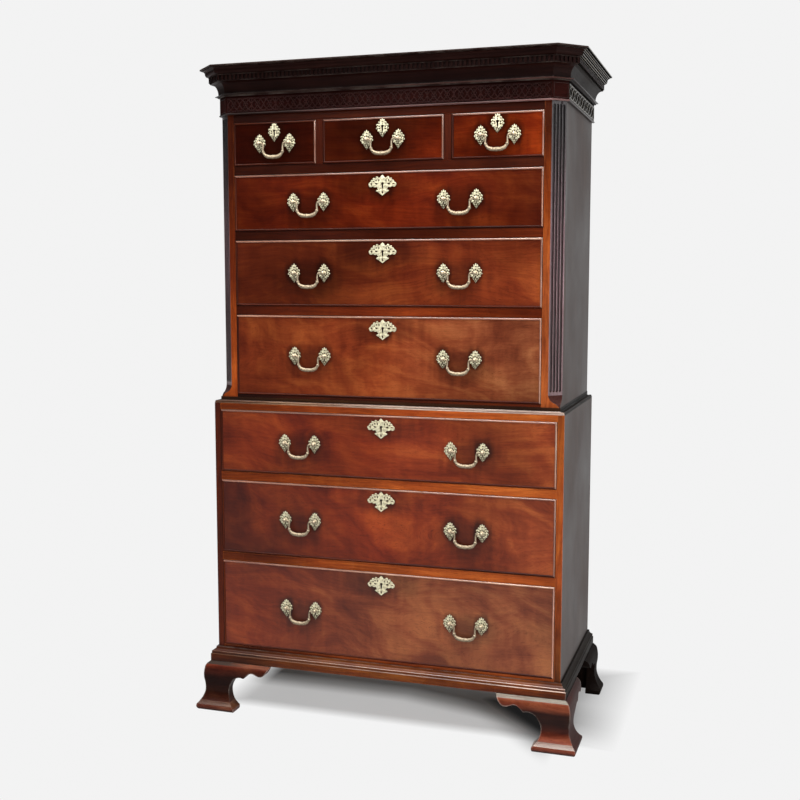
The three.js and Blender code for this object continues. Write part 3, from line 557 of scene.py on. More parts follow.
# Colour, grain axis (UV where it is mapped), figure, gloss and polish of each wood, and what else differs.
# A colour is a property's name, or that with shares of its red and of its green and blue, or a plain tone.
WOODS = {
    "rail": ("rail", "X", 0.15, 0.30, 0.10, dict(wear=0.35, painted_light=("X", RAIL_TONES, 0.3))),
    "dark_rail": (SHADED_RAIL, "X", 0.15, 0.30, 0.10, dict(DIMMED, painted_light=("X", DARK_RAIL_TONES, 0.2))),
    "top_rail": (SHADED_RAIL, "X", 0.15, 0.30, 0.10, dict(DIMMED, painted_light=("X", TOP_RAIL_TONES, 0.2))),
    "low_rail": (SHADED_RAIL, "X", 0.15, 0.30, 0.10, dict(DIMMED, painted_light=("X", LOW_RAIL_TONES, 0.2))),
    "stile": ("rail", "Z", 0.3, 0.30, 0.12, dict(contrast=1.3, wear=0.35, painted_light=("Z", STILE_TONES, 0.3))),
    "left_stile": ("rail", "Z", 0.3, 0.30, 0.10,
                   dict(contrast=1.3, wear=0.25, painted_light=("Z", LEFT_STILE_TONES, 0.3))),
    "dark_stile": (SHADED_RAIL, "Z", 0.15, 0.30, 0.12, DIMMED),
    # Cock beads: a pale tone, a painted highlight, on their lit lengths, and a darker copy, painted shade, on
    # the rest
    "bead": ((0.42, 0.19, 0.12), "UV", 0.1, 0.24, 0.5, dict(coat=1.0, crease_shade=0.2)),
    "dull_bead": (SHADED_RAIL, "UV", 0.1, 0.45, 0.10, dict(crease_shade=0.8)),
    "side": ("side", "Z", 0.35, 0.50, 0.33, dict(contrast=0.8)),
    "corner": ("corner", "Z", 0.15, 0.32, 0.27, dict(crease_shade=0.95, painted_light=("Z", CORNER_TONES, 0.1))),
    # Land: a paler copy of the corner for the flat lands between the flutes, a painted highlight
    "land": (("corner", 3.0, 3.8), "Z", 0.15, 0.30, 0.38, dict(crease_shade=0.3, painted_light=("Z", CORNER_TONES, 0.1))),
    "cornice": ("cornice", "UV", 0.2, 0.42, 0.04, dict(wear=0.12, worn=PALE_WEAR_AND_HIGHLIGHT, crease_shade=0.8)),
    # Copies for the side runs, toned apart from the front as painted shade and reflection
    "side_cornice": (("cornice", 0.7, 1.6), "UV", 0.2, 0.50, 0.07, dict(crease_shade=0.8)),
    "side_frieze": (("cornice", 0.4, 1.2), "UV", 0.2, 0.85, 0.02, dict(crease_shade=0.95)),
    # A pale grey tone for the side frets and the crown's lines on the sides, a painted highlight
    "side_fret": (("cornice", 8.0, 26.0), "UV", 0.1, 0.28, 0.4, DIMMED),
    "dentil": (("cornice", 1.15, 1.2), "UV", 0.2, 0.36, 0.04, DIMMED),
    "frieze": (("cornice", 1.9, 1.2), "UV", 0.2, 0.46, 0.02, dict(crease_shade=0.95)),
    "fret": (("cornice", 2.6, 1.8), "UV", 0.1, 0.32, 0.16, dict(wear=0.25, crease_shade=0.97)),
    # The frieze bead and the astragal are pale to the right, painted highlights, and dark to the left,
    # painted shade
    "dark_bead": (("cornice", 6.0, 10.0), "UV", 0.1, 0.34, 0.12,
                  dict(crease_shade=0.3, painted_light=("X", BEAD_TONES, 0.1))),
    "astragal": (("cornice", 2.5, 3.5), "UV", 0.1, 0.36, 0.08,
                 dict(crease_shade=0.3, painted_light=("X", ASTRAGAL_TONES, 0.1))),
    "side_bead": ("cornice", "UV", 0.1, 0.34, 0.25, {}),
    # Lip: a pale tone for the waist's band, painted light, paler to the right
    "lip": ((0.27, 0.20, 0.16), "UV", 0.2, 0.32, 0.12, dict(crease_shade=0.6, painted_light=("X", LIP_TONES, 0.2))),
    "hollow": (("rail", 0.12, 0.22), "UV", 0.2, 0.36, 0.12, DIMMED),
    "base": (("rail", 0.37, 0.47), "UV", 0.3, 0.30, 0.12,
             dict(WEAR_HIGHLIGHT_AND_CREASE_SHADE, contrast=1.3, wear=0.2, painted_light=("X", BASE_TONES, 0.15))),
    # A darker copy for the side runs of the waist and base mouldings, painted shade
    "side_moulding": (("side", 0.35, 0.45), "UV", 0.2, 0.52, 0.06, DIMMED),
    # Arris: a pale tone for the mouldings' arrises, a painted highlight
    "arris": ((0.56, 0.43, 0.35), "UV", 0.1, 0.24, 0.4,
              dict(coat=0.4, crease_shade=0.3, painted_light=("X", LIP_TONES, 0.2))),
    "foot": ("foot", "X", 0.6, 0.28, 0.08,
             dict(WEAR_HIGHLIGHT_AND_CREASE_SHADE, coat=0.12, contrast=1.4, wear=0.4, painted_light=("Z", FOOT_TONES, 0.02))),
    "left_foot": ("foot", "X", 0.8, 0.34, 0.05,
                  dict(WEAR_HIGHLIGHT_AND_CREASE_SHADE, coat=0.05, contrast=1.5, wear=0.5, painted_light=("Z", LEFT_FOOT_TONES, 0.02))),
    # Ledge and shoulder: pale tones on the upward faces of the feet, a painted highlight
    "ledge": ((0.33, 0.22, 0.17), "X", 0.3, 0.34, 0.20,
              dict(coat=0.1, crease_shade=0.6, painted_light=("X", LEDGE_TONES, 0.1))),
    "shoulder": ((0.28, 0.20, 0.155), "X", 0.3, 0.40, 0.08,
                 dict(crease_shade=0.6, painted_light=("X", SHOULDER_TONES, 0.05))),
    # Darker copies for the side faces of the front feet and for the rear feet, painted shade
    "side_foot": (("side", 1.1, 0.5), "Y", 0.3, 0.50, 0.08, dict(WEAR_HIGHLIGHT_AND_CREASE_SHADE, wear=0.3)),
    "rear_foot": (("side", 0.2, 0.2), "Y", 0.3, 0.60, 0.03, DIMMED),
    "oak": ("oak", "Y", 0.1, 0.62, 0.22, dict(contrast=0.8, pore=0.7)),
    "oak_across": ("oak", "X", 0.1, 0.62, 0.22, dict(pore=0.7)),
    "pine": ("pine", "Z", 0.3, 0.72, 0.22, dict(pore=0.3)),
    "top_pine": ("pine", "X", 0.3, 0.75, 0.22, dict(pore=0.3)),
}
# Shares of the brass's red and of its green and blue, then metal and gloss
BRASSES = {
    "brass": (1.12, 1.15, 0.55, 0.36),
    "post_brass": (0.50, 0.46, 0.85, 0.42),
    "bail_brass": (0.42, 0.37, 0.80, 0.50),
}


def tone_of(colours, tone):
    if isinstance(tone, str):
        return getattr(colours, tone)
    if isinstance(tone[0], str):
        return tinted(getattr(colours, tone[0]), *tone[1:])[:3]
    return tone


def finishes(context):
    """Every finish of the chest by name, made once."""
    colours = context.scene.chest_colours
    looks = {"iron": iron("lock_iron")}
    for name, (figure, polish, tones, hazes) in DRAWER_TONES.items():
        looks[name] = wood(f"{name}_veneer", colours.veneer, "X", False, figure, 0.34, polish, contrast=1.3,
                           crease_shade=0.6, painted_light=("X", list(zip(PAINTED_LIGHT_PLACES, tones, hazes)), 0.45),
                           shadow_and_dirt_spots=shadow_and_dirt_places(name, context.scene.chest_sizes))
    for name, (tone, axis, figure, gloss, polish, more) in WOODS.items():
        mapped = axis == "UV"
        looks[name] = wood(f"{name}_wood", tone_of(colours, tone), "X" if mapped else axis, mapped, figure,
                           gloss, polish, **more)
    for name, (red, rest, metal, gloss) in BRASSES.items():
        looks[name] = brass(f"cast_{name}", tinted(colours.brass, red, rest)[:3], metal, gloss)
    return looks


# Mesh makers

def placed(name, data):
    holder = bpy.data.objects.new(name, data)
    bpy.context.scene.collection.objects.link(holder)
    return holder


def finish_piece(name, mesh, finish, body, replaced=None, place=(0.0, 0.0, 0.0)):
    """A visible piece in its place, with its body and the node of the frame that it stands for."""
    piece = placed(name, mesh)
    if not mesh.materials:
        mesh.materials.append(finish)
    piece.location = place
    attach(piece, body)
    if replaced:
        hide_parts(replaced)
    return piece


def face_outward(mesh):
    work = bmesh.new()
    work.from_mesh(mesh)
    bmesh.ops.remove_doubles(work, verts=work.verts, dist=1e-7)
    bmesh.ops.recalc_face_normals(work, faces=work.faces)
    work.to_mesh(mesh)
    work.free()


def built(name, vertices, faces):
    mesh = bpy.data.meshes.new(name)
    mesh.from_pydata(vertices, [], faces)
    face_outward(mesh)
    return mesh


def modelled(name, work):
    """The mesh of a bmesh that is done with."""
    bmesh.ops.recalc_face_normals(work, faces=work.faces)
    mesh = bpy.data.meshes.new(name)
    work.to_mesh(mesh)
    work.free()
    return mesh


def band(a, b, count):
    """Faces between two rings of so many numbered vertices."""
    return [(a * count + j, a * count + (j + 1) % count, b * count + (j + 1) % count, b * count + j)
            for j in range(count)]


def tube(rings, count):
    """Faces of a run of rings, and of its two ends."""
    faces = [face for k in range(rings - 1) for face in band(k, k + 1, count)]
    return faces + [tuple(range(count)), tuple(range(rings * count - 1, (rings - 1) * count - 1, -1))]


def join_rings(work, a, b):
    """Faces between two rings of a bmesh."""
    for k in range(len(a)):
        n = (k + 1) % len(a)
        work.faces.new((a[k], a[n], b[n], b[k]))


def add_block(work, near, far):
    """A closed solid between two rings of corners."""
    rings = [[work.verts.new(corner) for corner in ring] for ring in (near, far)]
    work.faces.new(rings[0])
    work.faces.new(rings[1][::-1])
    join_rings(work, *rings)


def soften(piece, width, segments=2, angle=32.0):
    """Rounds the arrises of a piece and keeps its flats flat."""
    bevel = piece.modifiers.new("soft edges", "BEVEL")
    bevel.width = width
    bevel.segments = segments
    bevel.limit_method = "ANGLE"
    bevel.angle_limit = math.radians(angle)
    bevel.harden_normals = True
    piece.data.shade_smooth()


def smooth_by_angle(mesh, degrees=34.0):
    mesh.shade_smooth()
    mesh.set_sharp_from_angle(angle=math.radians(degrees))


def polygon_prism(points, axis, start, end):
    """A closed mesh: an outline carried along an axis. Axis 0 takes (y, z), 1 (x, z) and 2 (x, y)."""
    def corner(point, along):
        return (*point[:axis], along, *point[axis:])
    vertices = [corner(point, along) for along in (start, end) for point in points]
    return built("prism", vertices, tube(2, len(points)))


def carve(mesh, cutter, operation):
    """The mesh left by one exact cut, join or intersection."""
    first, second = placed("carved", mesh), placed("cutter", cutter)
    change = first.modifiers.new("carve", "BOOLEAN")
    change.operation = operation
    change.solver = "EXACT"
    change.object = second
    result = evaluated(first)
    bpy.data.objects.remove(second)
    for part in (mesh, cutter):
        bpy.data.meshes.remove(part)
    return result


def evaluated(thing):
    """The mesh of an object as its modifiers or its curve make it, in place of the object."""
    graph = bpy.context.evaluated_depsgraph_get()
    mesh = bpy.data.meshes.new_from_object(thing.evaluated_get(graph), depsgraph=graph)
    bpy.data.objects.remove(thing)
    return mesh


def mirrored(mesh, way):
    """A copy without finishes, mirrored to the left where way is negative."""
    copy = mesh.copy()
    copy.materials.clear()
    if way < 0:
        copy.transform(Matrix.Scale(-1, 4, (1, 0, 0)))
        copy.flip_normals()
    return copy


def give(mesh, looks, *names):
    for name in names:
        mesh.materials.append(looks[name])


def spline(points, count):
    """Points spaced along a smooth curve through the given ones, which may have any number of parts."""
    knots = [Vector(p) for p in points]
    ends = [2 * knots[0] - knots[1]] + knots + [2 * knots[-1] - knots[-2]]
    result = []
    spans = len(knots) - 1
    for step in range(count + 1):
        place = step * spans / count
        i = min(int(place), spans - 1)
        t = place - i
        a, b, c, d = ends[i:i + 4]
        point = 0.5 * ((2 * b) + (c - a) * t + (2 * a - 5 * b + 4 * c - d) * t * t
                       + (3 * b - a - 3 * c + d) * t ** 3)
        result.append(tuple(point))
    return result


def arc(centre, radii, start, end, steps):
    points = []
    for i in range(steps + 1):
        angle = math.radians(start + (end - start) * i / steps)
        points.append((centre[0] + radii[0] * math.cos(angle), centre[1] + radii[1] * math.sin(angle)))
    return points


def case_plan(half, front, leg, offset):
    """Plan of a case round its left side, front and right side, at a distance outside its faces."""
    x = half + offset
    y = front - offset
    if not leg:
        return [(-x, BACK), (-x, y), (x, y), (x, BACK)]
    grown = leg + offset * (2 - math.sqrt(2))
    return [(-x, BACK), (-x, y + grown), (-x + grown, y), (x - grown, y), (x, y + grown), (x, BACK)]


SIDE_GRAIN = 2.0  # the maps of the sides start this far from those of the front


def moulding(name, section, plan, looks, names, replaced, pale=(), lined=()):
    """A moulding mitred round a case, with its grain laid along each run.

    The named finishes are those of the front, of the side runs, toned apart as painted light, and of the pale
    parts, a painted highlight.
    Pale holds the numbers of the pale parts of the front run, and lined those of the side runs.
    """
    paths = [case_plan(*plan, offset) for offset, _ in section]
    stations = len(paths[0])
    count = len(section)
    vertices = [(*paths[j][k], section[j][1]) for k in range(stations) for j in range(count)]
    mesh = built(name, vertices, tube(stations, count))
    give(mesh, looks, *names)
    for index, face in enumerate(mesh.polygons):
        run, part = divmod(index, count)
        at_side = run in (0, stations - 2)
        if at_side:
            face.material_index = 1
        if (part in pale and run == 1) or (part in lined and at_side):
            face.material_index = len(names) - 1
    girth = [0.0]
    for a, b in zip(section, section[1:]):
        girth.append(girth[-1] + math.dist(a, b))
    spots = {tuple(round(value, 6) for value in spot): girth[i % count] for i, spot in enumerate(vertices)}

    def spot_of(place, normal):
        run_x = abs(normal.x) < 0.3 or abs(normal.y) > abs(normal.x)
        key = tuple(round(value, 6) for value in place)
        return (place.x if run_x else place.y + SIDE_GRAIN, spots.get(key, place.z))
    lay_map(mesh, spot_of)
    smooth_by_angle(mesh, 24.0)
    return finish_piece(name, mesh, None, CASE, replaced)


def lay_map(mesh, spot_of):
    """A map in metres for mapped finishes, from the place of each corner and the way its face looks."""
    layer = mesh.uv_layers.new(name="grain")
    for face in mesh.polygons:
        for loop in face.loop_indices:
            place = mesh.vertices[mesh.loops[loop].vertex_index].co
            layer.data[loop].uv = spot_of(place, face.normal)


def lay_grain(mesh):
    """A map whose first axis runs along the longer way of the case."""
    lay_map(mesh, lambda place, normal: (
        place.y + SIDE_GRAIN if abs(normal.x) > 0.75 else place.x, place.z))


def sized(shares, width, height, left=0.0, low=0.0):
    return [(left + a * width, low + b * height) for a, b in shares]


# Sections and outlines, as shares of the named sizes

CORNICE_SHARES = (
    [(0.13, 0.0)] + arc((0.165, 0.052), (0.042, 0.052), -90, 90, 10)[1:]
    + [(0.165, 0.125)] + arc((0.5, 0.125), (0.333, 0.36), 180, 90, 16)[1:]
    + [(0.55, 0.485), (0.55, 0.685), (0.61, 0.685), (0.61, 0.715)]
    + arc((0.61, 0.83), (0.155, 0.115), -90, 0, 8)[1:]
    + arc((0.91, 0.83), (0.145, 0.095), 180, 90, 8)[1:]
    + [(0.91, 0.945), (0.985, 0.945), (1.0, 0.955), (1.0, 0.99), (0.99, 1.0)]
)
BASE_SHARES = (
    [(0.97, 0.0), (1.0, 0.03), (1.0, 0.49), (0.97, 0.52), (0.87, 0.54), (0.87, 0.60)]
    + arc((0.80, 0.66), (0.09, 0.06), -60, 90, 7)
    + [(0.72, 0.72)] + arc((0.72, 0.94), (0.40, 0.20), -90, -180, 8)[1:]
    + [(0.30, 0.955), (0.30, 1.0)]
)
FOOT_SHARES = [
    (0.365, 1.0), (0.56, 0.93), (0.64, 0.80), (0.645, 0.67), (0.59, 0.52), (0.595, 0.38), (0.71, 0.25),
    (0.87, 0.155),
]
PAD_SHARES = arc((0.94, 0.07), (0.058, 0.052), 75, -70, 9) + [(0.92, 0.0)]
INNER_SHARES = [
    (0.395, 0.085), (0.37, 0.11), (0.31, 0.19), (0.275, 0.3), (0.265, 0.41), (0.275, 0.5), (0.305, 0.58),
    (0.345, 0.655), (0.4, 0.705), (0.475, 0.73), (0.54, 0.716),
]
LOBE_SHARES = [
    (0.555, 0.725), (0.575, 0.752), (0.617, 0.8), (0.665, 0.832), (0.715, 0.835), (0.765, 0.812),
    (0.825, 0.79), (0.885, 0.8), (0.935, 0.85), (0.975, 0.93),
]
TONGUE_SHARES = [(0.0, 0.0), (0.06, 0.16), (0.3, 0.38), (0.62, 0.5), (0.86, 0.66), (0.97, 0.84), (1.0, 1.0)]
BAIL_SHARES = [
    (0.97, -0.015, 1.0), (0.9, -0.05, 1.0), (0.85, -0.16, 1.0), (0.84, -0.3, 1.0), (0.85, -0.44, 1.05),
    (0.86, -0.55, 1.1), (0.83, -0.63, 1.65), (0.76, -0.76, 1.5), (0.6, -0.9, 1.9), (0.4, -0.97, 2.15),
    (0.2, -1.0, 2.0),
]
PLATE_SHARES = [
    (0.0, 0.5), (0.14, 0.445), (0.27, 0.335), (0.42, 0.215), (0.5, 0.05), (0.455, -0.11), (0.31, -0.225),
    (0.19, -0.34), (0.09, -0.43), (0.0, -0.5),
]
BATWING_SHARES = [
    (0.0, 0.5), (0.05, 0.44), (0.08, 0.37), (0.14, 0.365), (0.19, 0.42), (0.24, 0.395), (0.25, 0.32),
    (0.30, 0.355), (0.345, 0.325), (0.34, 0.255), (0.39, 0.25), (0.42, 0.21), (0.425, 0.155), (0.46, 0.14),
    (0.498, 0.08), (0.495, 0.0), (0.455, -0.07), (0.40, -0.09), (0.355, -0.055), (0.29, -0.10),
    (0.21, -0.09), (0.175, -0.16),
    (0.145, -0.215), (0.19, -0.225), (0.235, -0.265), (0.16, -0.335), (0.075, -0.42), (0.0, -0.5),
]


# Case pieces

def dress(node, finish, width):
    """Gives a board of the frame its finish and soft arrises."""
    board = frame["nodes"][node]
    board.data.materials.clear()
    board.data.materials.append(finish)
    soften(board, width)


RAIL_DEPTH, TOP_RAIL_BACK, LIPPING = 0.06, 0.0225, 0.004
LINING_ROUND, PLANK_CHAMFER, FOOT_ROUND, LOCK_ROUND = 0.0007, 0.0012, 0.0009, 0.0016


def dress_boards(context):
    """Case boards, whose show wood ends behind their front edges, and the drawer boxes."""
    width = context.scene.chest_sizes.edge_round
    looks = finishes(context)
    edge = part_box("upper_divider_1")[0][1] + RAIL_DEPTH
    lower_edge = edge - UPPER_FRONT + LOWER_FRONT
    side_edge = LOWER_FRONT + LIPPING
    for finish, show, hidden, edge_y, nodes in (
            # The left side's front edge takes the darker stile copy, painted shade, and the right one takes
            # the lit stile
            ("edged_side_left", "dark_stile", "side", side_edge, ["lower_side_left"]),
            ("edged_side_right", "stile", "side", side_edge, ["lower_side_right"]),
            ("lower_rail", "rail", "oak_across", lower_edge,
             ["lower_floor", "lower_divider_1", "lower_divider_2", "lower_top"]),
            ("upper_rail", "dark_rail", "oak_across", edge, ["upper_floor", "upper_divider_2"]),
            ("upper_low_rail", "low_rail", "oak_across", edge, ["upper_divider_1"]),
            ("upper_top_rail", "top_rail", "oak_across", edge, ["upper_divider_3"]),
            ("upper_top", "top_rail", "top_pine", UPPER_FRONT + TOP_RAIL_BACK, ["upper_top"])):
        split = two_woods(finish, looks[show], looks[hidden], edge_y)
        for node in nodes:
            dress(node, split, width)
    for side in ("left", "right"):
        dress(f"upper_side_{side}", looks["side"], width)
        dress(f"partition_{side}", looks["dark_stile"], width)
    for name in DRAWERS:
        dress(name + "_box", looks["oak"], LINING_ROUND)


PLANKS, PLANK_GAP = 6, 0.0012
NAIL_SHARES, NAIL_INSET, NAIL_SIDES = (0.22, 0.78), 0.012, 8
NAIL_RADIUS, NAIL_PROUD = 0.0032, 0.0006


def make_backs(context):
    """Back boards: upright planks with chamfered edges, nailed top and bottom."""
    looks = finishes(context)
    for node in ("lower_back", "upper_back"):
        low, high = (Vector(corner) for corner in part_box(node))
        width = (high.x - low.x) / PLANKS
        for i in range(PLANKS):
            left = low.x + i * width + (PLANK_GAP / 2 if i else 0)
            right = low.x + (i + 1) * width - (PLANK_GAP / 2 if i < PLANKS - 1 else 0)
            mesh = box_prism(left, right, low, high)
            plank = finish_piece(f"{node}_plank_{i + 1}", mesh, looks["pine"], CASE, node)
            soften(plank, PLANK_CHAMFER)
        heights = (low.z + NAIL_INSET, high.z - NAIL_INSET)
        heads = nail_heads([(low.x + (i + share) * width, high.y, z)
                            for i in range(PLANKS) for share in NAIL_SHARES for z in heights])
        heads.shade_smooth()
        finish_piece(f"{node}_nails", heads, looks["iron"], CASE, node)


def box_prism(left, right, low, high):
    """An upright block from left to right, with the depth and the height of a box."""
    outline = [(left, low.y), (right, low.y), (right, high.y), (left, high.y)]
    return polygon_prism(outline, 2, low.z, high.z)


def nail_heads(places):
    work = bmesh.new()
    turns = [2 * math.pi * k / NAIL_SIDES for k in range(NAIL_SIDES)]
    for x, y, z in places:
        rows = [[work.verts.new((x + NAIL_RADIUS * share * math.cos(t), y - NAIL_PROUD + NAIL_PROUD * rise,
                                 z + NAIL_RADIUS * share * math.sin(t))) for t in turns]
                for share, rise in ((1.0, 0.0), (1.0, 0.6), (0.8, 0.95))]
        top = work.verts.new((x, y, z))
        for a, b in zip(rows, rows[1:]):
            join_rings(work, a, b)
        for k in range(NAIL_SIDES):
            work.faces.new((rows[-1][k], rows[-1][(k + 1) % NAIL_SIDES], top))
        work.faces.new(rows[0][::-1])
    return modelled("nails", work)


CROWN_LINES = (31, 34, 37, 41, 44, 47, 51)  # the parts of the cornice's side runs that take the pale side fret finish, a painted highlight
CROWN_START = 28  # the first part of the cornice above its cove
FRIEZE_PROUD, FRIEZE_GROUND = 0.0055, 0.004
FRIEZE_BEAD = (0.0026, 0.0023)
ASTRAGAL = (0.0056, 0.0014)
NOSING = 0.0034  # how far the waist moulding's nosing stands out from its hollow


def boxed(section, low, high):
    """A section closed along the face of the case."""
    return [(JOINT_GAP, low), *section, (JOINT_GAP, high)]


def make_mouldings(context):
    """Cornice, frieze, waist and base mouldings."""
    looks = finishes(context)
    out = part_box("cornice")[1][0] - UPPER_HALF
    height = CORNICE_TOP - CORNICE_Z
    section = boxed(sized(CORNICE_SHARES, out, height, low=CORNICE_Z), CORNICE_Z, CORNICE_TOP)
    names = ("cornice", "side_cornice", "side_fret")
    crown = moulding("cornice_moulding", section, CANTED_PLAN, looks, names, "cornice",
                     lined=CROWN_LINES)
    # The other parts of the crown's side runs are near black, painted shade
    give(crown.data, looks, "side_frieze")
    for run in (0, 4):
        for part in range(CROWN_START, len(section) - 2):
            if part not in CROWN_LINES:
                crown.data.polygons[run * len(section) + part].material_index = 3
    bead_top = FRIEZE_Z + 2 * FRIEZE_BEAD[1]
    section = [(FRIEZE_GROUND, FRIEZE_Z)]
    section += arc((FRIEZE_PROUD, FRIEZE_Z + FRIEZE_BEAD[1]), FRIEZE_BEAD, -90, 90, 12)
    section.append((FRIEZE_GROUND, bead_top))
    section = boxed(section, FRIEZE_Z, bead_top)
    moulding("frieze_bead", section, CANTED_PLAN, looks, ("dark_bead", "side_bead"), "frieze")
    section = boxed([(FRIEZE_PROUD, bead_top), (FRIEZE_PROUD, FRIEZE_TOP)], bead_top, FRIEZE_TOP)
    moulding("frieze_board", section, CANTED_PLAN, looks, ("frieze", "side_frieze"), "frieze")
    middle = (0.0035 + 0.165 * out, CORNICE_Z + 0.052 * height)
    section = [(FRIEZE_GROUND, middle[1] - ASTRAGAL[1])] + arc(middle, ASTRAGAL, -90, 90, 12)
    section.append((FRIEZE_GROUND, middle[1] + ASTRAGAL[1]))
    moulding("cornice_astragal", section, CANTED_PLAN, looks, ("astragal", "side_bead"), "cornice")
    section = waist_section()
    # The pale parts take the arris finish, a painted highlight, and the band takes the lip finish, painted
    # light
    run = moulding("waist_moulding_run", section, WAIST_PLAN, looks, ("hollow", "side_moulding", "arris"),
                   "waist_moulding", pale=(1, 2, 3, 5, 6, 17, 18))
    give(run.data, looks, "lip")
    run.data.polygons[len(section) + 4].material_index = 3
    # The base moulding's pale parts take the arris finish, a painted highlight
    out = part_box("base_moulding")[1][0] - LOWER_HALF
    section = boxed(sized(BASE_SHARES, out, BASE_TOP - BASE_Z, low=BASE_Z), BASE_Z, BASE_TOP)
    moulding("base_moulding_run", section, LOWER_PLAN, looks, ("base", "side_moulding", "arris"),
             "base_moulding", pale=(3, 4, 11, 12, 13))


def waist_section():
    """A fillet, a band, a nosing and a hollow that runs up to the upper case; the fillet, the nosing's arris
    and the top of the hollow are pale, a painted highlight.
    """
    ledge = LOWER_HALF - UPPER_HALF
    height = WAIST_TOP - WAIST_Z
    lip = WAIST_Z + 0.4 * height
    wide, tall = ledge - 0.0060, 0.6 * height - 0.0125
    hollow = lip + 0.0003 + tall
    section = [
        (ledge - 0.0008, WAIST_Z), (ledge, WAIST_Z + 0.0008), (ledge, WAIST_Z + 0.0026),
        (ledge - 0.0012, WAIST_Z + 0.0030), (ledge - 0.0012, lip - 0.0016), (ledge - 0.0018, lip - 0.0002),
        (ledge - NOSING, lip + 0.0003),
    ]
    section += arc((ledge - NOSING, hollow), (wide - 0.0004, tall), -90, -180, 10)[1:]
    section += [(0.0030, hollow + 0.0014), (0.0012, hollow + 0.0026), (0.0012, WAIST_TOP)]
    return boxed(section, WAIST_Z, WAIST_TOP)


def runs_round(offset):
    """The straight runs of the upper case's plan, each as (start, direction, length, outward)."""
    plan = [Vector(point) for point in case_plan(*CANTED_PLAN, offset)]
    runs = []
    for a, b in zip(plan, plan[1:]):
        along = (b - a).normalized()
        runs.append((a, along, (b - a).length, Vector((along.y, -along.x))))
    return runs


# Shares of the cornice's height, of its reach and of the dentils' pitch
DENTIL_SPAN, DENTIL_BED, DENTIL_PROUD, DENTIL_WIDTH = (0.52, 0.684), 0.55, 0.055, 0.56
DENTIL_SUNK, DENTIL_ROUND = -0.0004, 0.0004


def make_dentils(context):
    """The course of small dentils under the cornice's edge."""
    pitch = context.scene.chest_sizes.dentil_pitch
    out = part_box("cornice")[1][0] - UPPER_HALF
    z0, z1 = (CORNICE_Z + share * (CORNICE_TOP - CORNICE_Z) for share in DENTIL_SPAN)
    proud, sunk, wide = DENTIL_PROUD * out, DENTIL_SUNK, DENTIL_WIDTH * pitch
    work = bmesh.new()
    for start, along, length, outward in runs_round(DENTIL_BED * out):
        count = max(1, round((length - wide) / pitch))
        step = (length - wide) / count
        for i in range(count + 1):
            middle = start + along * (wide / 2 + i * step)
            corners = [middle + along * (s * wide / 2) + outward * d
                       for s, d in ((-1, sunk), (1, sunk), (1, proud), (-1, proud))]
            add_block(work, [(c.x, c.y, z0) for c in corners], [(c.x, c.y, z1) for c in corners])
    mesh = modelled("dentils", work)
    face_outward(mesh)
    lay_grain(mesh)
    piece = finish_piece("dentil_course", mesh, finishes(context)["dentil"], CASE)
    soften(piece, DENTIL_ROUND, 1)


def ribbon(work, points, width, rise, to_space, closed=False):
    """A raised flat ribbon with bevelled edges along points on a face."""
    count = len(points)
    section = [(-0.5, 0.0), (-0.5, 0.62), (-0.30, 1.0), (0.30, 1.0), (0.5, 0.62), (0.5, 0.0)]
    rows = []
    for i, point in enumerate(points):
        before = points[(i - 1) % count] if closed or i else point
        after = points[(i + 1) % count] if closed or i < count - 1 else point
        along = (after - before).normalized()
        across = Vector((-along.y, along.x))
        rows.append([work.verts.new(to_space(point + across * (a * width), b * rise)) for a, b in section])
    for a, b in list(zip(rows, rows[1:])) + ([(rows[-1], rows[0])] if closed else []):
        join_rings(work, a, b)
    if not closed:
        work.faces.new(rows[0][::-1])
        work.faces.new(rows[-1])


FRET_BELOW, FRET_ABOVE = 0.0080, 0.0065  # plain frieze below the fret and above it
FRET_SUNK, FRET_MARGIN, FRET_ROOM = 0.0002, 0.0035, 0.0016
# Width and rise of the fillet round the fret, of its uprights and of its lozenges, then of its two waves
FILLET, UPRIGHT, LOZENGE = (0.0022, 0.0013), (0.0021, 0.0018), (0.0016, 0.0016)
WAVE_WIDTH, WAVE_RISES = 0.0024, (0.0021, 0.0026)
WAVE_STEPS, WAVE_FULLNESS = 16, 0.82
FRONT_WAVES, SIDE_WAVES, SIDE_RELIEF = 0.037, 0.080, 0.3


def make_fret(context):
    """Blind fret on the frieze: interlaced pointed arches, lozenges and uprights between fillets."""
    looks = finishes(context)
    low, high = FRIEZE_Z + FRET_BELOW, FRIEZE_TOP - FRET_ABOVE
    height = high - low
    for name, run in zip(("left", "cant_left", "front", "cant_right", "right"), runs_round(FRIEZE_PROUD)):
        start, along, length, outward = run

        def to_space(point, lift, start=start, along=along, outward=outward):
            spot = start + along * point.x + outward * (lift - FRET_SUNK)
            return (spot.x, spot.y, low + point.y)
        work = bmesh.new()
        near, far = FRET_MARGIN, length - FRET_MARGIN
        edge = [Vector(corner) for corner in ((near, 0.0), (far, 0.0), (far, height), (near, height))]
        ribbon(work, edge, *FILLET, to_space, closed=True)
        if name == "front":
            fret_runs(work, length, height, to_space)
        elif name in ("left", "right"):
            fret_runs(work, length, height, to_space, SIDE_WAVES, SIDE_RELIEF, False)
        mesh = modelled("fret", work)
        lay_grain(mesh)
        smooth_by_angle(mesh, 20.0)
        # The side frets take a pale tone, a painted highlight
        look = "side_fret" if name in ("left", "right") else "fret"
        finish_piece(f"frieze_fret_{name}", mesh, looks[look], CASE)


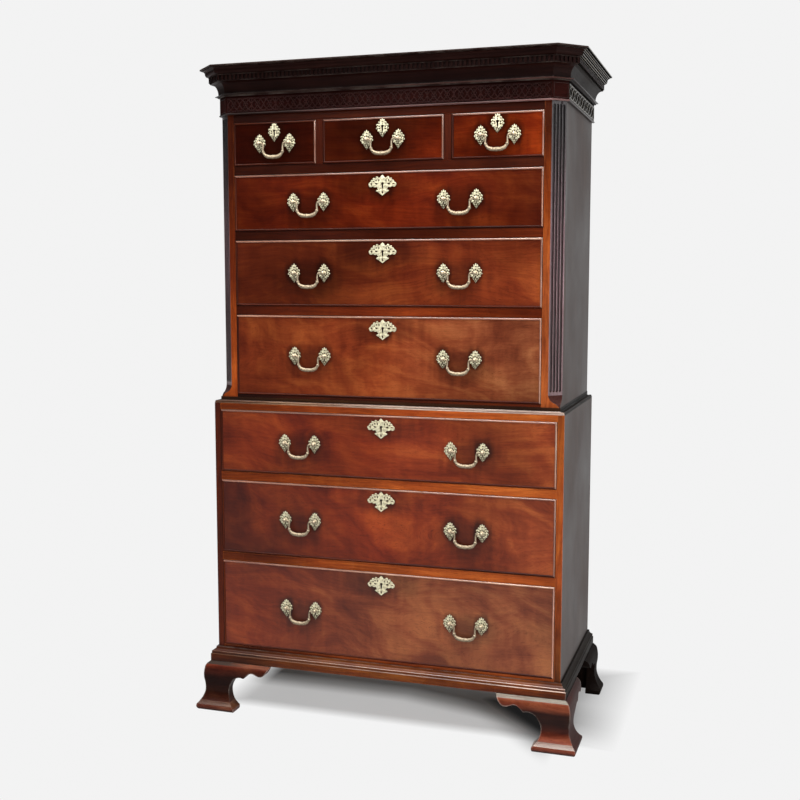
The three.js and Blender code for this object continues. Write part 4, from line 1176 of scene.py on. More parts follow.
def fret_runs(work, length, height, to_space, spacing=FRONT_WAVES, relief=1.0, filled=True):
    """Two pairs of interlaced waves, with uprights and lozenges in them where they are filled."""
    start = 2 * FRET_MARGIN
    inner = length - 2 * start
    count = max(3, round(inner / spacing))
    pitch = inner / count
    steps = WAVE_STEPS * count
    low, high = FRET_ROOM, height - FRET_ROOM
    middle, swing = (low + high) / 2, (high - low) / 2
    for phase, rise in zip((0.0, 0.5), WAVE_RISES):
        for way in (1, -1):
            points = []
            for i in range(steps + 1):
                bow = math.sin(math.pi * (i / WAVE_STEPS + phase))
                bow = math.copysign(abs(bow) ** WAVE_FULLNESS, bow)
                points.append(Vector((start + inner * i / steps, middle + way * swing * bow)))
            ribbon(work, points, WAVE_WIDTH, relief * rise, to_space)
    if not filled:
        return
    for i in range(count + 1):
        x = start + i * pitch
        if i % 2 == 0:
            ribbon(work, [Vector((x, low)), Vector((x, high))], *UPRIGHT, to_space)
        if i < count:
            centre = x + pitch / 2
            wide, tall = 0.20 * pitch, 0.62 * swing
            lozenge = [Vector((centre + wide * a, middle + tall * b)) for a, b in (
                (-1, 0), (0, -1), (1, 0), (0, 1))]
            ribbon(work, lozenge, *LOZENGE, to_space, closed=True)


def capsule(radius, length, sides=24, rings=6):
    """An upright rod with round ends, closed."""
    profile = arc((0.0, -length / 2), (radius, radius), -90, 0, rings)
    profile += [(r, -z) for r, z in reversed(profile)]
    return lathe_mesh(profile, sides)


def lathe_mesh(profile, sides):
    """A closed turned mesh about Z from a (radius, height) profile that starts and ends on the axis."""
    vertices, rows = [], []
    for radius, z in profile:
        if radius < 1e-9:
            rows.append([len(vertices)])
            vertices.append((0.0, 0.0, z))
            continue
        rows.append(list(range(len(vertices), len(vertices) + sides)))
        turns = [2 * math.pi * k / sides for k in range(sides)]
        vertices += [(radius * math.cos(turn), radius * math.sin(turn), z) for turn in turns]
    faces = []
    for a, b in zip(rows, rows[1:]):
        for k in range(sides):
            n = (k + 1) % sides
            corners = dict.fromkeys((a[k % len(a)], a[n % len(a)], b[n % len(b)], b[k % len(b)]))
            if len(corners) > 2:
                faces.append(tuple(corners))
    return built("turned", vertices, faces)


SIDES = (("right", 1.0), ("left", -1.0))
FLUTES, FLUTE_PITCH, FLUTE_RADIUS = 4, 0.010, 0.0037
FLUTE_CLEAR, FLUTE_TOP_CLEAR = 0.008, 0.012  # plain wood above the tongue and below the frieze
TONGUE_START, TONGUE_HEIGHT = 0.009, 0.044
TONGUE_OVER = 0.002
ON_FACE = 0.0003


def make_corners(context):
    """Canted and fluted corner posts with a tongue at the foot."""
    looks = finishes(context)
    low, high = (Vector(corner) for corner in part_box("upper_corner_right"))
    tongue_z = low.z + TONGUE_START
    flute_z0, flute_z1 = tongue_z + TONGUE_HEIGHT + FLUTE_CLEAR, FRIEZE_Z - FLUTE_TOP_CLEAR
    depth = CANT_LEG / math.sqrt(2)
    face = spline(sized(TONGUE_SHARES, depth, TONGUE_HEIGHT, low=tongue_z), 22)
    over = high.z + TONGUE_OVER
    waste = [(-depth, tongue_z)] + face + [(depth, over), (-depth, over)]
    cutter = polygon_prism(waste, 0, -CANT_LEG, CANT_LEG)
    cutter.transform(Matrix.Translation((high.x, low.y, 0.0)) @ Matrix.Rotation(math.radians(45), 4, "Z"))
    mesh = carve(box_prism(low.x, high.x, low, high), cutter, "DIFFERENCE")
    for i in range(FLUTES):
        shift = (i - (FLUTES - 1) / 2) * FLUTE_PITCH / math.sqrt(2)
        spot = (high.x - CANT_LEG / 2 + shift, low.y + CANT_LEG / 2 + shift, (flute_z0 + flute_z1) / 2)
        rod = capsule(FLUTE_RADIUS, flute_z1 - flute_z0)
        rod.transform(Matrix.Translation(spot))
        mesh = carve(mesh, rod, "DIFFERENCE")
    for side, way in SIDES:
        copy = mirrored(mesh, way)
        # The flat lands of the cant are paler, a painted highlight, and the left stile is a darker copy,
        # painted shade
        give(copy, looks, "corner", "stile" if way > 0 else "left_stile", "side", "land", "side_foot")
        for face in copy.polygons:
            centre, normal = face.center, face.normal
            cant = abs(centre.x) - centre.y - (high.x - CANT_LEG - low.y)
            if abs(centre.y - low.y) < ON_FACE and normal.y < -0.95:
                face.material_index = 1
            elif abs(abs(centre.x) - high.x) < ON_FACE and abs(normal.x) > 0.95:
                face.material_index = 2
            elif abs(cant) < ON_FACE and abs(normal.z) < 0.1:
                face.material_index = 3
            else:
                face.material_index = 4 if centre.z < flute_z0 and normal.y < 0.0 else 0
        smooth_by_angle(copy, 30.0)
        finish_piece(f"corner_post_{side}", copy, None, CASE, f"upper_corner_{side}")


FOOT_SETBACK, FOOT_OVER = 0.006, 0.002
GLUE_BLOCK, GLUE_BLOCK_LOW = 0.028, 0.012
REAR_BRACKET, REAR_TOE, REAR_END, REAR_THICK = 0.110, 0.050, 0.035, 0.020


def make_feet(context):
    """Ogee bracket feet: shaped wings cut to a scrolled outline and mitred at the front corners."""
    looks = finishes(context)
    reach = LOWER_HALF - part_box("front_foot_right")[0][0]
    past = FOOT_OUT + FOOT_OVER
    section = spline(sized(FOOT_SHARES, FOOT_OUT, FOOT_TOP), 34) + sized(PAD_SHARES, FOOT_OUT, FOOT_TOP)
    outline = [(-past, 0.0)] + sized([(0.385, 0.0), (0.395, 0.03)], reach, FOOT_TOP)
    for shares, steps in ((INNER_SHARES, 34), (LOBE_SHARES, 27)):
        outline += spline(sized(shares, reach, FOOT_TOP), steps)
    outline += [(reach, FOOT_TOP), (-past, FOOT_TOP)]
    far = LOWER_HALF - reach - FOOT_OVER

    def side_face(y0, y1):
        points = [(LOWER_HALF + out, z) for out, z in section] + [(far, 0.0), (far, FOOT_TOP)]
        return polygon_prism(points, 1, y0, y1)

    def side_bracket(corner, way):
        points = [(corner + way * a, z) for a, z in outline]
        return polygon_prism(points, 0, LOWER_HALF + FOOT_SETBACK, LOWER_HALF + past)

    inside = LOWER_FRONT + reach + FOOT_OVER
    points = [(LOWER_FRONT - out, z) for out, z in section] + [(inside, 0.0), (inside, FOOT_TOP)]
    front = polygon_prism(points, 0, far, LOWER_HALF + past)
    front = carve(front, side_face(LOWER_FRONT - past, inside), "INTERSECT")
    points = [(LOWER_HALF - a, z) for a, z in outline]
    bracket = polygon_prism(points, 1, LOWER_FRONT - past, LOWER_FRONT - FOOT_SETBACK)
    front = carve(front, carve(bracket, side_bracket(LOWER_FRONT, 1), "UNION"), "INTERSECT")
    near, inner = LOWER_HALF + FOOT_SETBACK + FOOT_OVER, LOWER_HALF - REAR_BRACKET
    low = Vector((0.0, LOWER_FRONT - FOOT_SETBACK - FOOT_OVER, GLUE_BLOCK_LOW))
    high = Vector((0.0, LOWER_FRONT + GLUE_BLOCK, FOOT_TOP))
    block = box_prism(LOWER_HALF - GLUE_BLOCK, near, low, high)
    front = carve(front, block, "UNION")
    rear = carve(side_face(BACK - reach - FOOT_OVER, BACK), side_bracket(BACK, -1), "INTERSECT")
    slope = [(near, 0.0), (near, FOOT_TOP), (inner, FOOT_TOP), (inner, FOOT_TOP - REAR_END),
             (LOWER_HALF - REAR_TOE, 0.0)]
    rear = carve(rear, polygon_prism(slope, 1, BACK - REAR_THICK, BACK), "UNION")
    for kind, mesh in (("front", front), ("rear", rear)):
        for side, way in SIDES:
            copy = mirrored(mesh, way)
            give(copy, looks, "foot" if way > 0 else "left_foot")
            give(copy, looks, "side_foot" if kind == "front" else "rear_foot", "ledge", "shoulder")
            for face in copy.polygons:
                face.material_index = foot_part(face, kind)
            smooth_by_angle(copy, 30.0)
            piece = finish_piece(f"{kind}_bracket_foot_{side}", copy, None, CASE,
                                 f"{kind}_foot_{side}")
            soften(piece, FOOT_ROUND)


def foot_part(face, kind):
    """Number of a face's finish: 0 the front, 1 the side, a darker copy as painted shade, 2 the ledge of the
    pad and 3 the shoulder, both pale as a painted highlight.
    """
    normal, middle = face.normal, face.center
    if kind == "rear" or abs(middle.x) - LOWER_HALF > LOWER_FRONT - middle.y:
        return 1
    if normal.z > 0.62 and middle.z > 0.89 * FOOT_TOP:
        return 3
    return 2 if normal.z > 0.50 and middle.z < 0.2 * FOOT_TOP else 0


# Drawer pieces

def drawer_face(name):
    """Centre x, face y, lower and upper edge and half width of a drawer's front board."""
    low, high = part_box(name + "_front")
    front = LOWER_FRONT if name.startswith("lower") else UPPER_FRONT
    return (low[0] + high[0]) / 2, front, low[2], high[2], (high[0] - low[0]) / 2


KEY_PLATE_DROP, SMALL_PLATE_DROP = 0.0083, 0.0023  # from a drawer's upper edge to the top of its key plate


def key_place(name, sizes):
    """Middle of a drawer's key plate, with the plate's width and height."""
    centre, front, _, high, _ = drawer_face(name)
    width, height, below = sizes.escutcheon_width, sizes.escutcheon_height, KEY_PLATE_DROP
    if name.startswith("small"):
        width, height, below = sizes.plate_width, sizes.plate_height, SMALL_PLATE_DROP
    return Vector((centre, front, high - below - height / 2)), width, height


KEY_RADIUS, KEY_SLOT, KEY_LENGTH, KEY_RISE = 0.0028, 0.0026, 0.0117, 0.004


def key_outline(grow=0.0):
    radius, half, foot = KEY_RADIUS + grow, KEY_SLOT / 2 + grow, KEY_RISE - KEY_LENGTH - grow
    angle = math.degrees(math.asin(half / radius))
    head = arc((0.0, KEY_RISE), (radius, radius), -90 + angle, 270 - angle, 14)
    return head + [(-half, foot), (half, foot)]


FRONT_THICK, RABBET, BEAD_ROOM = 0.021, 0.006, 0.0001
KEY_HOLE_OVER, KEY_HOLE_DEPTH = 0.002, 0.013


def make_fronts(context):
    """Drawer fronts: veneered boards, each in a raised cock bead mitred round its edges."""
    sizes = context.scene.chest_sizes
    looks = finishes(context)
    inner = sizes.bead_width + BEAD_ROOM
    for name in DRAWERS:
        centre, front, low, high, half = drawer_face(name)
        vertices = []
        for back, inset in ((0.0, inner), (RABBET, inner), (RABBET, 0.0), (FRONT_THICK, 0.0)):
            x, y, z0, z1 = half - inset, front + back, low + inset, high - inset
            vertices += [(centre - x, y, z0), (centre + x, y, z0), (centre + x, y, z1), (centre - x, y, z1)]
        middle, _, _ = key_place(name, sizes)
        outline = [(middle.x + a, middle.z + b) for a, b in key_outline()]
        hole = polygon_prism(outline, 1, front - KEY_HOLE_OVER, front + KEY_HOLE_DEPTH)
        mesh = carve(built(name, vertices, tube(4, 4)), hole, "DIFFERENCE")
        mesh.materials.clear()
        finish_piece(f"{name}_board", mesh, looks[veneer_key(name)], name, name + "_front")
        # The painted highlight goes on the right and top lengths, and only on the right one of the small left
        # drawer, whose top stays in painted shade
        bright = (1,) if name == "small_drawer_left" else (1, 2)
        bead = bead_frame(drawer_face(name), sizes.bead_width, sizes.bead_proud, bright)
        give(bead, looks, "bead", "dull_bead")
        finish_piece(f"{name}_cock_bead", bead, None, name, name + "_front")


def bead_frame(face_of, width, proud, bright):
    """A half-round bead mitred round a front, polished and pale as a painted highlight on its bright lengths
    (1 the right one, 2 the top), and darker as painted shade on the others.
    """
    centre, front, low, high, half = face_of
    round_part = arc((width / 2, 0.0), (width / 2, proud), 180, 0, 9)[1:-1]
    section = [(0.0, RABBET), (0.0, 0.0)] + [(a, -b) for a, b in round_part] + [(width, 0.0), (width, RABBET)]
    count = len(section)
    vertices = [
        (centre + sx * (half - inset), front + back, (low + inset) if sz < 0 else (high - inset))
        for sx, sz in ((-1, -1), (1, -1), (1, 1), (-1, 1)) for inset, back in section]
    mesh = built("bead", vertices, [face for k in range(4) for face in band(k, (k + 1) % 4, count)])
    layer = mesh.uv_layers.new(name="grain")
    for face in mesh.polygons:
        span = face.index // count
        face.material_index = 0 if span in bright else 1
        for loop in face.loop_indices:
            x, y, z = mesh.vertices[mesh.loops[loop].vertex_index].co
            layer.data[loop].uv = (z, x + y) if span % 2 else (x, z + y)
    smooth_by_angle(mesh, 40.0)
    return mesh


TAIL_START, TAIL_END = 0.0075, 0.0211
TAIL_IN, TAIL_OUT = -0.004, 0.00015
TAIL_SPACING, TAIL_LOW, TAIL_FREE = 0.045, 0.008, 0.012


def make_dovetails(context):
    """Oak tails of the drawer sides, let into both ends of each front."""
    looks = finishes(context)
    for name in DRAWERS:
        centre, front, low, _, half = drawer_face(name)
        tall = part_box(name + "_box")[1][2] - low
        count = max(2, round(tall / TAIL_SPACING))
        pitch = (tall - TAIL_FREE) / count
        start, end = front + TAIL_START, front + TAIL_END
        work = bmesh.new()
        for side in (-1, 1):
            for i in range(count):
                z = low + TAIL_LOW + (i + 0.5) * pitch
                narrow, wide = 0.20 * pitch, 0.36 * pitch
                tail = [(start, z - wide), (end, z - narrow), (end, z + narrow), (start, z + wide)]
                add_block(work, *([(centre + side * (half + out), y, up) for y, up in tail]
                                  for out in (TAIL_IN, TAIL_OUT)))
        finish_piece(f"{name}_dovetails", modelled("tails", work), looks["oak"], name)


def pierced_plate(name, outline, holes, thick, edge):
    """A flat casting in the x-z plane with its holes, front face towards -Y and edges rounded."""
    curve = bpy.data.curves.new(name, "CURVE")
    curve.dimensions = "2D"
    curve.fill_mode = "BOTH"
    curve.extrude = thick / 2 - edge
    curve.bevel_depth = edge
    curve.bevel_resolution = 2
    curve.offset = -edge
    for points in [outline] + holes:
        line = curve.splines.new("POLY")
        line.points.add(len(points) - 1)
        for spot, (x, z) in zip(line.points, points):
            spot.co = (x, z, 0.0, 1.0)
        line.use_cyclic_u = True
    mesh = evaluated(placed(name, curve))
    mesh.materials.clear()
    mesh.transform(Matrix.Translation((0.0, -thick / 2, 0.0)) @ Matrix.Rotation(math.radians(90), 4, "X"))
    face_outward(mesh)
    return mesh


PLATE_EDGE = 0.0003
PLATE_KEY_ROOM = 0.0010


def symmetric(half_shares, width, height, steps):
    """A closed outline about x = 0 from a smooth curve through its right half."""
    right = spline(sized(half_shares, width, height), steps)
    return right + [(-x, z) for x, z in reversed(right[1:-1])]


def drop(x, z, length, width, turn, steps=10):
    """A teardrop hole whose point faces the given way, in degrees."""
    points = []
    way = math.radians(turn)
    for i in range(steps):
        angle = 2 * math.pi * i / steps
        along = length * (0.5 + 0.5 * math.cos(angle))
        across = width * 0.5 * math.sin(angle) * (1 - 0.55 * (0.5 + 0.5 * math.cos(angle)))
        points.append((x + along * math.cos(way) - across * math.sin(way),
                       z + along * math.sin(way) + across * math.cos(way)))
    return points


LOBES, LOBE_STEPS, LOBE_NICK = 8, 12, 0.115
LEAFY_WIDTH = 0.92  # share of a plate's width


def leafy_outline(sizes):
    """A lozenge whose edge runs in leaf tips with deep nicks between them."""
    count = LOBES * LOBE_STEPS
    outline = symmetric(PLATE_SHARES, LEAFY_WIDTH * sizes.plate_width, sizes.plate_height, count)
    points = []
    for i, (x, z) in enumerate(outline):
        wave = abs(math.cos(math.pi * LOBES * i / count)) ** 1.3
        reach = 1 - LOBE_NICK * sizes.plate_width * (1 - wave) / math.hypot(x, z)
        points.append((x * reach, z * reach))
    return points


# Turn in degrees, then reach, length and width of each hole of the right half, in shares of the plate's width
INNER_RING = [(turn, 0.225, 0.125, 0.105) for turn in (90, 54, 18, -18)]
INNER_RING += [(-54, 0.22, 0.105, 0.095), (-90, 0.2375, 0.15, 0.105)]
OUTER_RING = [
    (90, 0.4125, 0.10, 0.10), (52, 0.365, 0.09, 0.09), (24, 0.36, 0.09, 0.09), (-5, 0.3575, 0.09, 0.09),
    (-61, 0.36, 0.085, 0.085), (-90, 0.41, 0.09, 0.08),
]
KEY_RING = [(90, 0.28, 0.085, 0.09), (-90, 0.29, 0.085, 0.085)]


def piercings(width, holes):
    """Oval holes in rings round the middle of a leafy plate."""
    outlines = []
    for turn, reach, long, wide in holes:
        for way in {turn, 180 - turn} if abs(turn) != 90 else {turn}:
            a = math.radians(way)
            along, across = (math.cos(a), math.sin(a)), (-math.sin(a), math.cos(a))
            outlines.append([
                tuple(width * ((reach + u) * along[k] + v * across[k]) for k in (0, 1))
                for u, v in arc((0.0, 0.0), (0.5 * long, 0.5 * wide), 0, 330, 11)])
    return outlines


POST_REACH = 0.0125
HEAD_RADIUS, HEAD_HEIGHT, HEAD_END = 0.0054, 0.0031, 0.0030
BORE_RADIUS, BORE_LENGTH, BORE_START = 0.0019, 0.012, 0.0015
POST_FOOT = [
    (0.0, 0.0008), (0.0056, 0.0008), (0.0056, -0.0022), (0.0048, -0.0030), (0.0036, -0.0034),
    (0.0029, -0.0048), (0.0027, -0.0075), (0.0034, -0.0090),
]


def post_with_bore(side):
    """Cast post along -Y: collar, neck and a round head, bored from one side for the bail's pin."""
    head = []
    for degrees in range(-50, 81, 13):
        turn = math.radians(degrees)
        head.append((0.0001 + HEAD_RADIUS * math.cos(turn), -POST_REACH - HEAD_HEIGHT * math.sin(turn)))
    mesh = lathe_mesh(POST_FOOT + head + [(0.0, -POST_REACH - HEAD_END)], 24)
    mesh.transform(Matrix.Rotation(-QUARTER, 4, "X"))
    bore = lathe_mesh([(0.0, 0.0), (BORE_RADIUS, 0.0), (BORE_RADIUS, BORE_LENGTH), (0.0, BORE_LENGTH)], 16)
    bore.transform(Matrix.Translation((-side * BORE_START, -POST_REACH, 0.0))
                   @ Matrix.Rotation(-QUARTER * side, 4, "Y"))
    mesh = carve(mesh, bore, "DIFFERENCE")
    mesh.materials.clear()
    return mesh


def make_handles(context):
    """Pierced plates, posts and swan-neck bails."""
    sizes = context.scene.chest_sizes
    looks = finishes(context)
    holes = piercings(sizes.plate_width, INNER_RING + OUTER_RING)
    plate = pierced_plate("plate", leafy_outline(sizes), holes, sizes.plate_thick, PLATE_EDGE)
    posts = {side: post_with_bore(side) for side in (-1, 1)}
    for mesh, look in ((plate, "brass"), (posts[-1], "post_brass"), (posts[1], "post_brass")):
        smooth_by_angle(mesh, 40.0)
        give(mesh, looks, look)
    bail = bail_mesh(sizes)
    give(bail, looks, "bail_brass")
    for body, joint in BAILS.items():
        drawer, axis = joint["parent"], Vector(joint["pos_m"])
        for side, word in ((-1, "left"), (1, "right")):
            spot = (axis.x + side * sizes.post_spacing / 2, axis.y + POST_REACH, axis.z)
            for kind, mesh in (("plate", plate), ("post", posts[side])):
                finish_piece(f"{body}_{kind}_{word}", mesh, None, drawer, drawer + "_front", spot)
        finish_piece(f"{body}_casting", bail, None, body, body, axis)


BAIL_DROP = 0.0385
PIN_GAP, PIN_IN = 0.0054, 0.0034
PIN_STATIONS = [(0.0066, 0.0, 0.0014), (0.0020, 0.0, 0.0015), (0.0006, -0.0001, 0.0018)]
GRIP_STATIONS, GRIP_RADIUS, BAIL_FLATNESS = 84, 2.0, 0.92
LEAF_DEPTH, LEAF_RATE, LEAF_CLEAR = 0.10, 900.0, 0.004


def swelling(x, z):
    """How much the turned rings of the grip and the knuckles of the necks add to a bail's radius."""
    ring = math.exp(-(x / 0.0011) ** 2) * 0.0010
    ring += math.exp(-((abs(x) - 0.0034) / 0.0008) ** 2) * 0.0005
    return ring + math.exp(-((z + 0.616 * BAIL_DROP) / 0.0010) ** 2) * 0.0010


def bail_mesh(sizes, sides=18):
    """Swan-neck bail hanging from its pins, with a swelling leafy grip and turned rings."""
    neck = sizes.neck_radius
    half = sizes.post_spacing / 2 - PIN_GAP - PIN_IN
    shoulder = half - neck / 2
    knots = [(half + x, z, r) for x, z, r in PIN_STATIONS]
    knots += [(x * shoulder, z * BAIL_DROP, r * neck) for x, z, r in BAIL_SHARES]
    knots.append((0.0, -BAIL_DROP, GRIP_RADIUS * neck))
    side = spline(knots, GRIP_STATIONS)
    stations = side + [(-x, z, radius) for x, z, radius in side[-2::-1]]
    swollen = [(x, z, radius + swelling(x, z)) for x, z, radius in stations]
    vertices = []
    for i, (x, z, radius) in enumerate(swollen):
        a, b = swollen[max(i - 1, 0)], swollen[min(i + 1, len(swollen) - 1)]
        along = Vector((b[0] - a[0], b[1] - a[1])).normalized()
        on_grip = z < -0.7 * BAIL_DROP and abs(x) > LEAF_CLEAR
        leaf = LEAF_DEPTH * math.sin(abs(x) * LEAF_RATE) if on_grip else 0.0
        for k in range(sides):
            angle = 2 * math.pi * k / sides
            r = radius * (1 + leaf * math.cos(3 * angle))
            across = r * math.cos(angle)
            vertices.append((x - along.y * across, r * BAIL_FLATNESS * math.sin(angle), z + along.x * across))
    mesh = built("bail", vertices, tube(len(swollen), sides))
    smooth_by_angle(mesh, 50.0)
    return mesh


# Place of the wide end, length, width and turn of each hole of the right half, in shares of the plate's size
BATWING_HOLES = [
    (0.185, 0.055, 0.105, 0.075, 15), (0.125, 0.27, 0.075, 0.060, -80), (0.215, 0.28, 0.075, 0.060, -65),
    (0.325, 0.21, 0.070, 0.060, -125), (0.440, 0.06, 0.085, 0.065, 175),
]


def make_key_plates(context):
    """Key plates: wide batwings on the long drawers and leafy lozenges on the small ones."""
    sizes = context.scene.chest_sizes
    looks = finishes(context)
    wide = batwing_mesh(sizes)
    rings = INNER_RING[2:4] + KEY_RING + OUTER_RING
    holes = [key_outline(PLATE_KEY_ROOM)] + piercings(sizes.plate_width, rings)
    small = pierced_plate("key plate", leafy_outline(sizes), holes, sizes.plate_thick, PLATE_EDGE)
    for mesh in (wide, small):
        give(mesh, looks, "brass")
        smooth_by_angle(mesh, 40.0)
    for name in DRAWERS:
        middle, _, _ = key_place(name, sizes)
        mesh = small if name.startswith("small") else wide
        finish_piece(f"{name}_key_plate", mesh, None, name, name + "_front", middle)


def batwing_mesh(sizes):
    width, height = sizes.escutcheon_width, sizes.escutcheon_height
    holes = [key_outline(PLATE_KEY_ROOM)]
    for a, b, long, wide, turn in BATWING_HOLES:
        for side, way in ((-1, 180 - turn), (1, turn)):
            holes.append(drop(side * a * width, b * height, long * width, wide * width, way))
    holes.append(drop(0.0, -0.41 * height, 0.15 * height, 0.075 * width, 90))
    outline = symmetric(BATWING_SHARES, width, height, 116)
    return pierced_plate("batwing", outline, holes, sizes.plate_thick, PLATE_EDGE)


LOCK_HALF, LOCK_LOW, LOCK_HIGH = 0.033, 0.050, 0.006
LOCK_FRONT, LOCK_BACK = 0.0212, 0.031


def make_locks(context):
    """Iron locks let into the backs of the fronts."""
    looks = finishes(context)
    for name in DRAWERS:
        centre, front, _, high, _ = drawer_face(name)
        low_corner = Vector((0.0, front + LOCK_FRONT, high - LOCK_LOW))
        high_corner = Vector((0.0, front + LOCK_BACK, high - LOCK_HIGH))
        mesh = box_prism(centre - LOCK_HALF, centre + LOCK_HALF, low_corner, high_corner)
        lock = finish_piece(f"{name}_lock", mesh, looks["iron"], name, name + "_front")
        soften(lock, LOCK_ROUND)


# Floor, lights and camera

CAMERA_PLACE = (0.9993, -3.1563, 1.2662)
CAMERA_TURN = (-0.1081, -0.0003, 0.3111)  # pitch, roll and yaw
CAMERA_LENS = 50.967
FLOOR_RADIUS, FLOOR_SIDES = 14.0, 96
PALE_BACKDROP = 0.895
# Where the floor's painted shadow ends beyond each side of the chest, and its painted tones from the front to
# the back
SHADOW_RIGHT, SHADOW_LEFT = (0.43, 0.66), (0.45, 0.54)
SHADOW_FRONT, SHADOW_BACK = (0.145, 0.205), (0.28, 0.45)
# Painted dark shadow on the floor by the right front foot: where it runs, and its tone
FOOT_SHADOW, FOOT_DARK = (0.155, 0.345), 0.012
SHADOW_TONES = [(0.20, 0.60), (0.44, 0.60), (0.58, 0.19), (0.70, 0.02), (0.82, 0.05), (1.0, 0.22)]
DIM_STUDIO = 0.05
SKY_LEVEL = 0.30


def floor_finish(colour):
    """Plain floor that glows for the camera and the gloss, with a painted shadow under and beside the chest
    mixed with its real lighting, and evenly pale further out, where it meets the backdrop.
    """
    material, tree, shader = blank("plain_floor")
    if tree is None:
        return material
    speck = noise(tree, place_of(tree), 90.0, 4.0, 0.6)
    plug(tree, shader.inputs["Base Color"], mix(tree, speck, shade(colour, 0.985), shade(colour, 1.0)))
    axes = axes_of(tree)
    x, y = axes["X"], axes["Y"]
    clear = largest(
        tree, between(tree, x, *SHADOW_RIGHT), between(tree, times(tree, x, -1.0), *SHADOW_LEFT),
        between(tree, y, *SHADOW_BACK), between(tree, times(tree, y, -1.0), *SHADOW_FRONT))
    # Painted shadow tones under the chest, set by depth and by how far to the right
    depth = plus(tree, y, times(tree, largest(tree, x, 0.0), 0.25))
    under = ramp(tree, between(tree, depth, -0.25, 0.25), [
        (place, (level, level, level, 1.0)) for place, level in SHADOW_TONES])
    slant = plus(tree, x, times(tree, y, 0.9))
    by_foot = between(tree, slant, *FOOT_SHADOW)
    by_foot.node.interpolation_type = "SMOOTHSTEP"
    by_foot = times(tree, by_foot, between(tree, y, 0.06, 0.18, 1.0, 0.0))
    by_foot = times(tree, by_foot, between(tree, x, 0.45, 0.50, 1.0, 0.0))
    tone = mix(tree, clear, under, shade((PALE_BACKDROP,) * 3, 1.0))
    tone = mix(tree, by_foot, tone, shade((FOOT_DARK,) * 3, 1.0))
    far = largest(tree, plus(tree, 0.7, times(tree, clear, 0.3)), by_foot)
    glow = add(tree, "Emission", None, Color=tone, Strength=1.0)
    seen = largest(tree, *(rays_of(tree)[f"Is {kind} Ray"] for kind in ("Camera", "Transmission", "Glossy")))
    join_shaders(tree, times(tree, far, seen), shader, glow)
    return material


def rays_of(tree):
    return add(tree, "LightPath").outputs


def join_shaders(tree, share, first, second):
    """Sends a mixture of two shaders to the material's output."""
    joined = tree.nodes.new("ShaderNodeMixShader")
    plug(tree, joined.inputs[0], share)
    tree.links.new(first.outputs[0], joined.inputs[1])
    tree.links.new(second.outputs[0], joined.inputs[2])
    outputs = [node for node in tree.nodes if node.bl_idname == "ShaderNodeOutputMaterial"]
    output = outputs[0] if outputs else tree.nodes.new("ShaderNodeOutputMaterial")
    tree.links.new(joined.outputs[0], output.inputs[0])


def lamp(name, place, target, size, power, gloss_only):
    light = bpy.data.lights.new(name, "AREA")
    light.shape = "RECTANGLE"
    light.size, light.size_y = size
    light.energy = power
    holder = placed(name, light)
    holder.location = place
    holder.rotation_euler = (Vector(target) - Vector(place)).to_track_quat("-Z", "Y").to_euler()
    holder.visible_camera = False
    holder.visible_diffuse = not gloss_only


# Place, target, size and power of each lamp, and whether it lights the gloss only
LAMPS = {
    "key": ((1.9, -2.6, 0.9), (0.2, -0.2, 0.8), (1.2, 1.5), 30.0, False),
    "top": ((0.0, -1.0, 4.4), (0.0, -0.4, 0.0), (2.6, 1.8), 175.0, False),
    "overhead_sheen": ((0.2, -1.9, 4.2), (0.0, -0.2, 1.0), (5.0, 3.0), 560.0, True),
    "right_sheen": ((3.0, -0.75, 1.2), (0.5, -0.2, 1.2), (0.9, 2.8), 32.0, True),
}


def make_stage(context):
    """Pale floor, soft studio lamps, an even backdrop and the camera."""
    scene = context.scene
    mesh = bpy.data.meshes.new("floor")
    turns = [2 * math.pi * k / FLOOR_SIDES for k in range(FLOOR_SIDES)]
    rim = [(FLOOR_RADIUS * math.cos(turn), FLOOR_RADIUS * math.sin(turn), 0.0) for turn in turns]
    mesh.from_pydata(rim, [], [tuple(range(FLOOR_SIDES))])
    mesh.materials.append(floor_finish(scene.chest_colours.floor))
    floor = placed("studio_floor", mesh)
    for name, numbers in LAMPS.items():
        lamp(name, *numbers)
    scene.world = backdrop()
    data = bpy.data.cameras.new("camera")
    data.sensor_width = 36.0
    data.lens = CAMERA_LENS
    camera = placed("camera", data)
    pitch, roll, yaw = CAMERA_TURN
    camera.matrix_world = (
        Matrix.Translation(CAMERA_PLACE) @ Matrix.Rotation(yaw, 4, "Z") @ Matrix.Rotation(pitch, 4, "X")
        @ Matrix.Rotation(roll, 4, "Y") @ Matrix.Rotation(QUARTER, 4, "X"))
    scene.camera = camera
    scene.view_settings.view_transform = "Standard"


def backdrop():
    """An even pale backdrop, which the gloss sees only behind and above and the diffuse light sees dimmed."""
    world = bpy.data.worlds.new("studio")
    world.use_nodes = True
    tree = world.node_tree
    ways, rays = axes_of(tree, "Generated"), rays_of(tree)
    mirrored_level = largest(tree, between(tree, ways["Y"], 0.45, 0.85, DIM_STUDIO, PALE_BACKDROP),
                             between(tree, ways["Z"], 0.35, 0.85, DIM_STUDIO, PALE_BACKDROP))
    seen, glossy = largest(tree, rays["Is Camera Ray"], rays["Is Transmission Ray"]), rays["Is Glossy Ray"]
    soft = maths(tree, "SUBTRACT", maths(tree, "SUBTRACT", 1.0, seen), glossy, True)
    level = plus(tree, times(tree, seen, PALE_BACKDROP), times(tree, glossy, mirrored_level),
                 times(tree, soft, SKY_LEVEL))
    back = tree.nodes["Background"]
    back.inputs["Color"].default_value = (1.0, 1.0, 1.0, 1.0)
    tree.links.new(level, back.inputs["Strength"])
    return world


# Operators and panel

